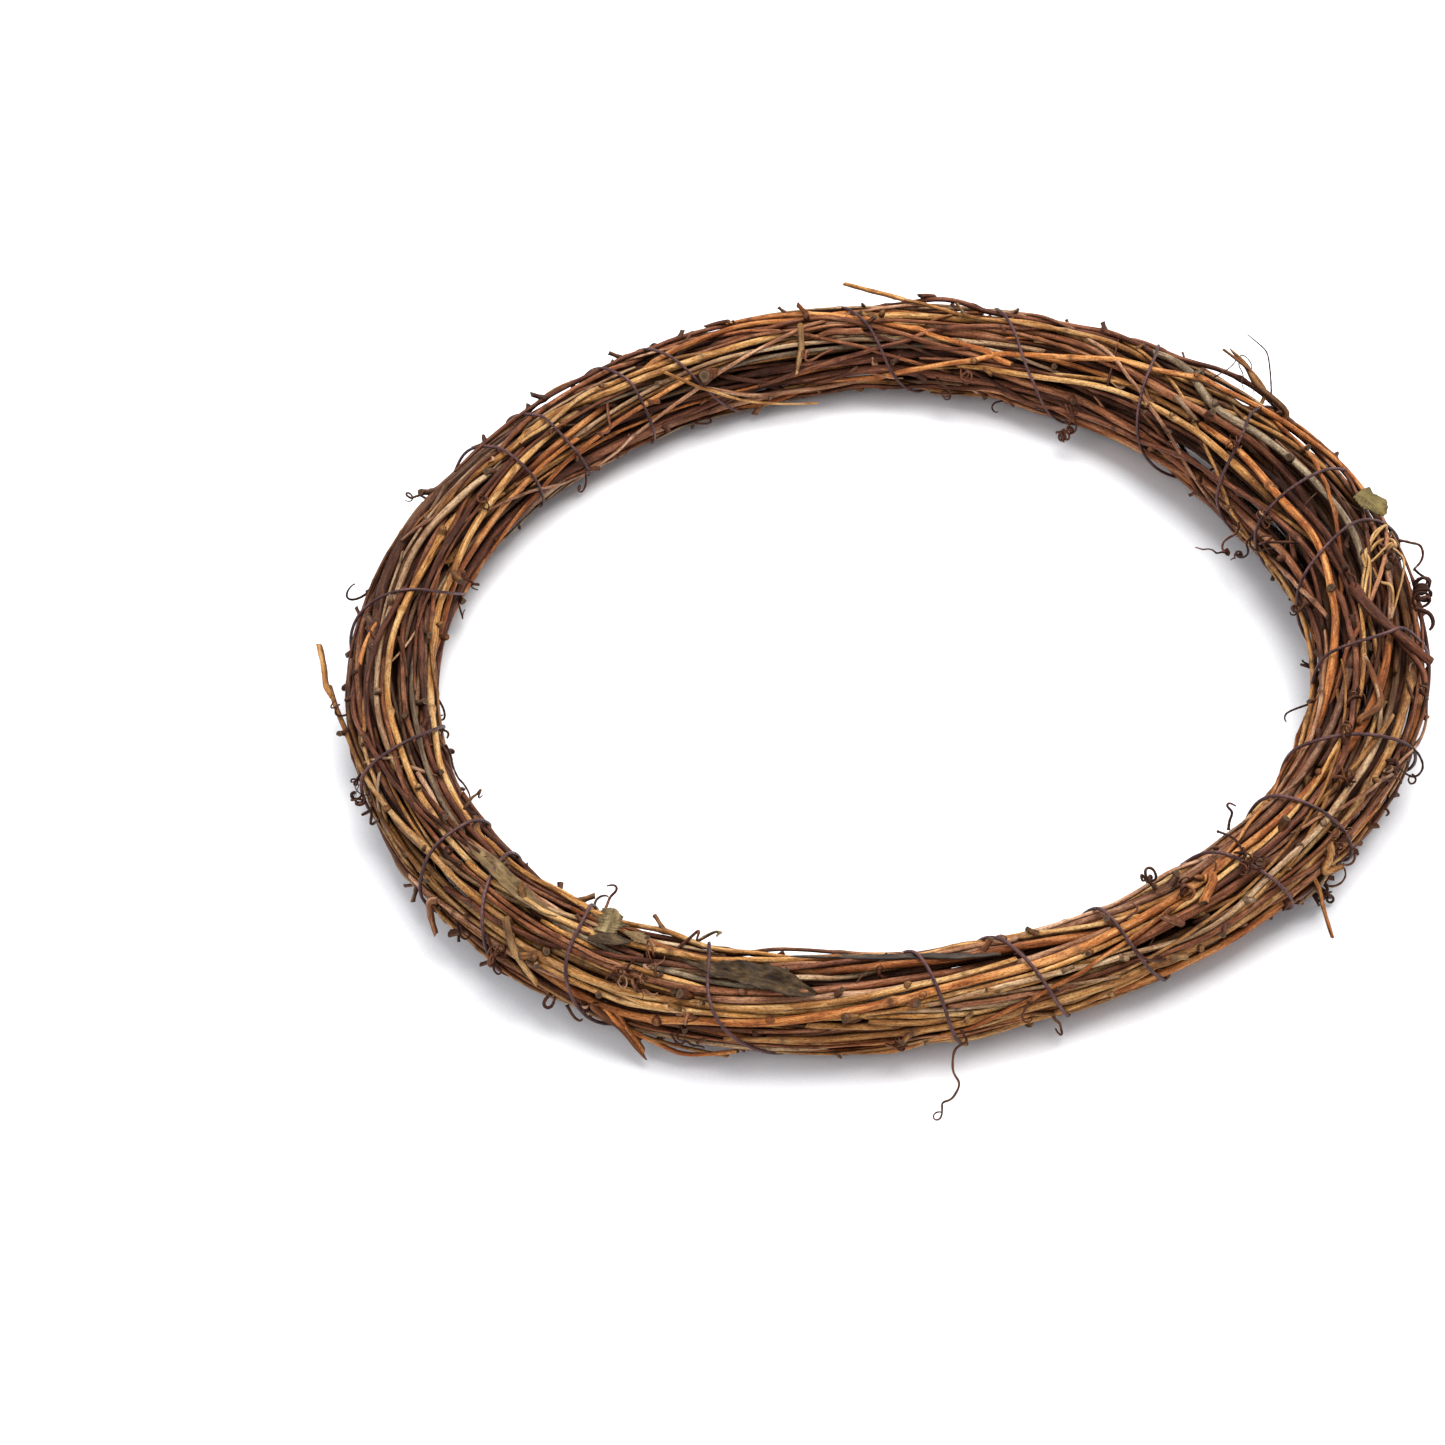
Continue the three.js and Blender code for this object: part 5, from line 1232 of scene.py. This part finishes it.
def add_twig(index, points, r0, r1):
    """A twig rooted in the nearest of the frame's canes that may carry it."""
    draw = random.Random(600 + index)
    start = surface(*points[0])
    on_pale = index < ON_PALE_CANE
    best, root, host = 1.0, None, None
    for strand in strands:
        if strand.cane is None or on_pale != (strand.cane.name == PALE_CANE):
            continue
        d = np.linalg.norm(strand.line - start, axis=1)
        i = int(d.argmin())
        if d[i] - strand.plain[i] < best:
            best, root, host = d[i] - strand.plain[i], strand.line[i], strand
    hangs = points[-1][1] < 0
    for up in np.arange(0, 5, 0.5):
        path = [root] + [surface(a, p, max(o, 0.6) + up) for a, p, o in points[1:]]
        line = smooth_line(path, 7)
        if hangs or min(room(q, 0.8 * r1 * MM) for q in line[12:]) > -0.5 * MM:
            break
    line = rounded(line, 1.5 * MM)
    t = np.linspace(0, 1, len(line))
    r = (r0 + (r1 - r0) * t) * DRAWN_TWIG * MM * (1 + 0.05 * np.sin(t * 21 + index))
    tone = PALE_TONE if on_pale or index >= FIRST_PALE_END else host.tone
    skins[host.cane.name].tube(line, r, 9, tone, 0.1, ridge=0.05, twist=60, cut_ends=CUT_FAR, bevel=0.9,
                               along=draw.random())


skins, thin = {}, {}


def thin_skin(slot):
    return thin.setdefault(slot, Skin())


for strand in strands:
    if strand.cane is None:
        dress(strand, thin_skin(strand.slot))
        continue
    skin = skins[strand.cane.name] = Skin()
    for points, sides in strand.cane.shoots():
        add_frame_shoot(skin, strand, points, sides)
    dress(strand, skin)
for index, (points, r0, r1) in enumerate(TWIGS):
    add_twig(index, points, r0, r1)
for name, skin in skins.items():
    piece = skin.build(name + "_bark", MATERIALS[SLOT_OF[name]])
    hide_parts(name)


# Broken bits between the canes
def headed(p, angle):
    """Unit vector along the bundle's surface at p, at an angle to the ring."""
    onward = onward_at(p)
    return unit(onward * math.cos(angle) + np.cross(outward_at(p), onward) * math.sin(angle))


def add_broken_twigs(count):
    draw = random.Random(31)
    for _ in range(count):
        deg, phi = draw.uniform(0, 360), draw.uniform(-45, 225)
        if draw.random() < 0.7 * math.exp(-((deg - 268) / 26) ** 2) or pinch(np.radians(deg)) > 0.75:
            continue
        r = draw.choice([0.45, 0.6, 0.8, 1.1]) * MM
        mid = surface(deg, phi, perch(deg, phi, r, 0.6))
        out = outward_at(mid)
        heading = draw.gauss(0, 0.42) + draw.choice([0, math.pi])
        go = headed(mid, heading)
        length = draw.uniform(7, 34) * MM * (1.2 - 0.5 * abs(math.sin(heading)))
        bend = (0.35 + 0.6 * math.sin(heading) ** 2) * 0.5 / bundle_at(math.radians(deg))
        t = np.linspace(-0.5, 0.5, 9)[:, None] * length
        side = np.cross(out, go) * draw.uniform(-0.06, 0.06)
        path = mid + go * t - out * bend * t ** 2 + side * t ** 2 / (8 * MM)
        if not inside_box(path):
            continue
        slot = "cane_" + draw.choice(["golden", "tan", "orange", "red", "pale", "dark"])
        if np.linalg.norm(path[:, None] - wire_line[None], axis=2).min() < 2 * r + WIRE_RADIUS:
            continue
        thin_skin(slot).tube(path, r * np.linspace(1.1, 0.7, 9), 6, draw.random(),
                             draw.choice([0.0, 0.1, 0.5]), ridge=0.08, bevel=1.0, along=draw.random())


def add_shreds(count):
    """Curled strips of loose bark."""
    draw = random.Random(41)
    skin = Skin()
    for _ in range(count):
        deg, phi = draw.uniform(0, 360), draw.uniform(-40, 220)
        mid = surface(deg, phi, perch(deg, phi, 0.3 * MM, 0.3))
        out = outward_at(mid)
        go = headed(mid, draw.gauss(0, 0.4))
        side = np.cross(out, go)
        length = draw.uniform(5, 20) * MM
        t = np.linspace(0, 1, 12)[:, None]
        lift = draw.uniform(0.5, 3.0) * MM
        path = mid + go * (t - 0.3) * length + out * (lift * t ** 2 - 0.4 * MM)
        path = path + side * np.sin(t * 5) * 0.8 * MM
        if not inside_box(path):
            continue
        wide = draw.uniform(0.5, 1.3) * MM * profile(path, (0, 0.5), (0.2, 1), (0.8, 0.8), (1, 0.2))
        skin.tube(path, wide, 8, draw.random(), draw.uniform(0, 0.5), flat=0.14,
                  side=side + out * np.linspace(0, 1.5, 12)[:, None], cut_ends=UNCUT, along=draw.random())
    piece = skin.build("loose_bark_shreds", MATERIALS["cane_tan"])


def add_loose_curls(count):
    draw = random.Random(51)
    for _ in range(count):
        deg = draw.choice([draw.uniform(0, 360), draw.gauss(355, 35), draw.gauss(225, 20)])
        phi = draw.choice([draw.gauss(165, 22), draw.gauss(5, 22), draw.uniform(20, 160)])
        root = surface(deg, phi, perch(deg, phi, 0.4 * MM, 0.8) - 0.8)
        add_curl(draw, root, draw.uniform(10, 40) * MM, draw.uniform(260, 760), draw.uniform(0.38, 0.62) * MM)


add_tendrils()
add_coils()
add_tangles()
add_stubs()
add_broken_twigs(190)
add_shreds(90)
add_loose_curls(9)
for slot, skin in thin.items():
    piece = skin.build("thin_canes_" + slot.split("_")[1], MATERIALS[slot])
piece = curls.build("dry_tendrils", MATERIALS["cane_dark"])


# Leaves and bark
ROWS = 84
COLUMNS = 25
SIDE_VEINS = 8
LEAST_LEAF_HEIGHT = 0.3 * MM


def add_leaf(name, kind, rib, widths, fold, seed, thick=0.3, crumple=0.3, teeth=0.04, lean=0.0, along=False,
             slot=None):
    """Thin veined blade along rib (points over the bundle), widths in mm on its two sides.

    fold and lean tilt its sides, crumple and thick are in mm, along makes its veins run lengthwise.
    """
    draw = np.random.default_rng(seed)
    middle = smooth_line([surface(*p) for p in rib], 40)
    s = lengths(middle)
    at = np.linspace(0, s[-1], ROWS)
    middle = points_at(at, s, middle)
    tang = unit(np.gradient(middle, axis=0))
    out = outward_at(middle)
    out = unit(out - tang * np.sum(out * tang, 1, keepdims=True))
    across = np.cross(tang, out)
    t = np.linspace(0, 1, ROWS)
    left, right = (np.interp(t, np.linspace(0, 1, len(side)), side) * MM for side in zip(*widths))
    jag = 1 + teeth * (np.abs(np.sin(t * 27 + seed)) * 1.4 - 0.7 + 0.6 * np.sin(t * 61 + seed * 2))
    left, right = left * jag, right * (1 + (jag[::-1] - 1))
    c = np.linspace(-1, 1, COLUMNS)
    y = np.where(c < 0, c * left[:, None], c * right[:, None])
    x = at[:, None] + 0 * y
    wave = np.zeros_like(x)
    for _ in range(7):
        fx, fy = draw.uniform(60, 420, 2)
        turn = x * fx + y * fy * draw.choice([-1, 1]) + draw.uniform(0, 6.28)
        wave += (1 - np.abs(np.sin(turn))) * draw.uniform(0.3, 1)
    z = crumple * MM * (wave - wave.mean()) * (0.35 + 0.65 * np.abs(c))
    z = z + fold * np.abs(y) + lean * y - y ** 2 / (2.4 * BUNDLE_RADIUS)
    if along:
        veins = np.abs(np.cos(c * 7.5))[None] + 0 * x
    else:
        veins = np.abs(((t[:, None] * SIDE_VEINS - np.abs(c) * 0.9) % 1.0) - 0.5) * 2
    rib_mark = np.maximum(bell(y, 0.35 * MM), 0.6 * bell(1 - veins, 0.14))
    edge = np.clip((np.abs(c) - 0.86) / 0.14, 0, 1) + 0 * y
    z = z + 0.12 * MM * rib_mark
    p = middle[:, None] + y[..., None] * across[:, None] + z[..., None] * out[:, None]
    normal = unit(np.cross(np.gradient(p, axis=0), np.gradient(p, axis=1)))
    verts = np.concatenate([(p + k * normal * thick * MM / 2).reshape(-1, 3) for k in (1, -1)])
    verts[:, 2] = np.maximum(verts[:, 2], LEAST_LEAF_HEIGHT)
    n = ROWS * COLUMNS
    i, j = np.meshgrid(np.arange(ROWS - 1) * COLUMNS, np.arange(COLUMNS - 1), indexing="ij")
    a = (i + j).ravel()
    faces = np.stack([a, a + COLUMNS, a + COLUMNS + 1, a + 1], 1).tolist()
    faces += np.stack([a + n, a + 1 + n, a + COLUMNS + 1 + n, a + COLUMNS + n], 1).tolist()
    corners = np.arange(n).reshape(ROWS, COLUMNS)
    rim = [corners[0], corners[1:, -1], corners[-1, -2::-1], corners[-2:0:-1, 0]]
    rim = np.concatenate(rim).tolist()
    faces += [[a, b, b + n, a + n] for a, b in zip(rim, rim[1:] + rim[:1])]
    flat = np.stack([x, y, 0 * x], -1).reshape(-1, 3)
    fields = {"leaf_space": flat, "rib": rib_mark.ravel(), "edge": edge.ravel()}
    piece = add_object(name + "_blade", verts, faces, leaf_materials[kind],
                       {key: np.concatenate([values, values]) for key, values in fields.items()})
    if slot is None:
        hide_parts(name)


# Colours of the spots and edges, the blade, its light patches and its veins
LEAVES = {
    "dry leaf": ((0.055, 0.033, 0.015), (0.19, 0.132, 0.06), (0.38, 0.3, 0.16), (0.085, 0.052, 0.024)),
    "dark leaf": ((0.008, 0.004, 0.002), (0.034, 0.018, 0.007), (0.13, 0.08, 0.034), (0.07, 0.04, 0.016)),
    "greenish leaf": ((0.036, 0.023, 0.007), (0.1, 0.07, 0.02), (0.19, 0.138, 0.044), (0.2, 0.14, 0.042)),
    "olive leaf": ((0.034, 0.019, 0.008), (0.125, 0.074, 0.029), (0.27, 0.18, 0.082), (0.19, 0.125, 0.055)),
    "dark loose bark": ((0.01, 0.007, 0.006), (0.034, 0.024, 0.019), (0.12, 0.085, 0.06),
                        (0.06, 0.042, 0.03)),
}
leaf_materials = {kind: leaf_material(kind, *colours) for kind, colours in LEAVES.items()}

add_leaf("dry_leaf_long", "olive leaf",
         [(213.9, 96, -0.2), (216.5, 94, 0.4), (220, 92, 0.9), (224, 88, 0.9), (227.5, 85.5, 0.5),
          (230.3, 88, -0.2)],
         [(0.5, 0.5), (2.4, 2.2), (3.2, 2.6), (2.8, 3.2), (2.2, 3.4), (1.5, 2.2), (0.4, 0.4)],
         crumple=0.6, fold=0.55, seed=1, along=True)
add_leaf("dry_leaf_upright", "dry leaf",
         [(235.7, 90, 0.8), (235.5, 98, 2.0), (235.3, 105, 4.2), (235.1, 110, 6.6)],
         [(2.6, 2.4), (5.6, 3.4), (3.6, 4.2), (4.4, 6.6), (6.0, 3.6), (3.0, 4.6), (3.8, 2.2), (0.8, 0.6)],
         crumple=2.2, fold=0.3, teeth=0.14, seed=2)
add_leaf("dry_leaf_small", "greenish leaf",
         [(5.5, 70, 1.8), (4.5, 65, 2.8), (3.5, 59, 3.0), (2.5, 53, 2.4)],
         [(2.6, 2.8), (4.6, 3.4), (3.8, 4.4), (4.2, 5.2), (4.8, 3.8), (2.2, 2.6), (0.6, 0.6)],
         crumple=1.2, fold=0.15, lean=-0.5, seed=3)
add_leaf("dry_leaf_dark", "dark leaf",
         [(244.4, 87, -0.3), (248, 82, 0.3), (251, 79, 0.7), (254, 75, 0.9), (256.6, 69, 0.7),
          (258.8, 63, 0.2)],
         [(0.3, 0.3), (1.6, 2.0), (3.4, 3.2), (4.6, 3.6), (5.0, 4.0), (3.6, 3.6), (0.5, 0.5)],
         crumple=0.9, fold=0.62, seed=4, along=True)
add_leaf("bark_strip", "dark loose bark",
         [(255.5, 116, 0.9), (260, 118, 0.9), (265, 112, 0.9), (270, 106, 0.9), (274, 96, 0.9),
          (278.5, 88, 0.7)],
         [(0.4, 0.4), (1.3, 1.1), (1.6, 1.2), (1.3, 1.3), (1.2, 1.2), (0.4, 0.4)],
         thick=0.5, crumple=0.15, fold=0.4, seed=5)
add_leaf("leaf_scrap_under", "dark leaf", [(234.2, 76, 1.0), (236, 81, 1.8), (238.6, 89, 1.2)],
         [(0.5, 0.5), (2.2, 2.2), (2.4, 2.0), (0.4, 0.4)], fold=0.5, seed=6, slot="dry_leaf")
add_leaf("leaf_scrap_beside", "olive leaf", [(237.0, 102, 0.6), (239, 99, 1.0), (241, 96, 0.4)],
         [(0.8, 0.8), (2.6, 2.4), (0.5, 0.5)], fold=0.3, teeth=0.1, seed=7, slot="dry_leaf")
add_leaf("leaf_scrap_curled", "dry leaf",
         [(244.6, 130, 0.2), (245.4, 132, 2.2), (246.4, 131, 4.4), (247.0, 129, 4.8), (246.8, 127, 3.6)],
         [(1.0, 1.0), (1.4, 1.3), (1.5, 1.2), (0.9, 1.0), (0.5, 0.5)],
         crumple=0.15, fold=0.7, seed=8, slot="dry_leaf")

# Ring and section angles of the straw's loops and ends
STRAWS = (
    ((-12, 103), (-8.7, 97), (-5.9, 90), (-4.4, 88), (-2.3, 79), (-0.2, 68), (1.7, 51), (2.7, 36), (1.2, 38)),
    ((-11.8, 99), (-8.7, 94), (-5.9, 87), (-4.3, 87), (-3.1, 79), (-1.7, 69), (-0.3, 55), (-0.7, 50),
     (-2.3, 54), (-3.4, 65), (-4.3, 77), (-5.4, 87)),
    ((-6.6, 91), (-4.9, 91), (-3.3, 82), (-1.1, 71), (0.7, 58), (0.8, 49), (-0.8, 50)),
    ((-5.9, 86), (-8.8, 90), (-11.9, 95)),
    ((-5.9, 92), (-4.9, 81), (-3.4, 67), (-1.6, 50)),
    ((-5.7, 82), (-7.8, 78), (-10.3, 75), (-12.5, 70)),
    ((-0.3, 42), (-2.6, 39), (-6.4, 51), (-9.4, 62), (-12.2, 69)),
)


def add_straw():
    """Loops and ends of split golden straw, held at one foot."""
    draw = random.Random(8)
    skin = Skin()
    for route in STRAWS:
        path = []
        for i, (deg, phi) in enumerate(route):
            lift = draw.uniform(1.2, 3.4) * (0.3 if i in (0, len(route) - 1) else 1)
            path.append(surface(deg, phi, perch(deg, phi, 0.5 * MM) + lift))
        line = smooth_line(path, 9)
        wide = draw.uniform(0.58, 0.80) * MM * profile(line, (0, 0.7), (0.1, 1), (0.9, 0.9), (1, 0.4))
        skin.tube(line, wide, 8, 0.9, flat=0.7, twist=40, ridge=0.06, along=draw.random())
    straw = bark("straw", (0.210, 0.102, 0.034), (0.380, 0.215, 0.078), (0.540, 0.355, 0.160),
                 (0.270, 0.140, 0.050), 0.25)
    piece = skin.build("straw_tuft_stalks", straw)
    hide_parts("straw_tuft")


add_straw()


# Floor, light and camera
FLOOR_SIZE = 3.0


def add_stage():
    t = Tree("pale floor")
    grain = t.noise(t.add("ShaderNodeTexCoord").outputs["Object"], (900, 900, 900), 2, 0.5)
    pale = t.ramp(grain, (0.3, (0.80, 0.80, 0.82)), (0.7, (0.84, 0.84, 0.855)))
    floor = bpy.data.objects.new("floor", bpy.data.meshes.new("floor"))
    corners = [(x * FLOOR_SIZE, y * FLOOR_SIZE, 0) for x, y in ((-1, -1), (1, -1), (1, 1), (-1, 1))]
    floor.data.from_pydata(corners, [], [[0, 1, 2, 3]])
    floor.data.materials.append(t.finished(pale, 0.55, 0.25))
    bpy.context.scene.collection.objects.link(floor)


SKY_COLOUR = (0.94, 0.96, 1.0, 1)
SKY_STRENGTH = 0.84
# Square lamps aimed at the middle: place, width, power and colour
LAMPS = {
    "key": ((0.40, 0.30, 1.75), 1.60, 54, (1.0, 0.99, 0.97)),
    "fill": ((-0.9, -0.7, 1.0), 0.9, 4, (0.95, 0.97, 1.0)),
}


def add_lights():
    world = bpy.data.worlds.new("studio")
    world.use_nodes = True
    sky = world.node_tree.nodes["Background"]
    sky.inputs["Color"].default_value = SKY_COLOUR
    sky.inputs["Strength"].default_value = SKY_STRENGTH
    bpy.context.scene.world = world
    for name, (at, size, power, colour) in LAMPS.items():
        data = bpy.data.lights.new(name, "AREA")
        data.size, data.energy, data.color = size, power, colour
        lamp = bpy.data.objects.new(name, data)
        lamp.location = at
        lamp.rotation_euler = (-Vector(at)).to_track_quat("-Z", "Y").to_euler()
        bpy.context.scene.collection.objects.link(lamp)


# The camera looks at a point beside the ring's middle, given across and up in the picture
ELEVATION = math.radians(44.52)
ROLL = math.radians(-5.69)
DISTANCE = 0.9912
AIM = (0.0549, 0.0326)
AIM_HEIGHT = 0.019
SENSOR_WIDTH = 36
LENS = 64.775


def add_camera():
    ce, se = math.cos(ELEVATION), math.sin(ELEVATION)
    back, up, right = Vector((0, -ce, se)), Vector((0, se, ce)), Vector((1, 0, 0))
    cr, sr = math.cos(ROLL), math.sin(ROLL)
    across, upward = right * cr + up * sr, up * cr - right * sr
    data = bpy.data.cameras.new("camera")
    data.sensor_width, data.lens, data.clip_start, data.clip_end = SENSOR_WIDTH, LENS, 0.01, 20
    camera = bpy.data.objects.new("camera", data)
    middle = Vector(CENTRE) + Vector((0, 0, AIM_HEIGHT))
    at = middle + back * DISTANCE - across * AIM[0] - upward * AIM[1]
    camera.matrix_world = Matrix.Translation(at) @ Matrix((across, upward, back)).transposed().to_4x4()
    bpy.context.scene.collection.objects.link(camera)
    bpy.context.scene.camera = camera


add_stage()
add_lights()
add_camera()
bpy.context.scene.view_settings.view_transform = "Standard"
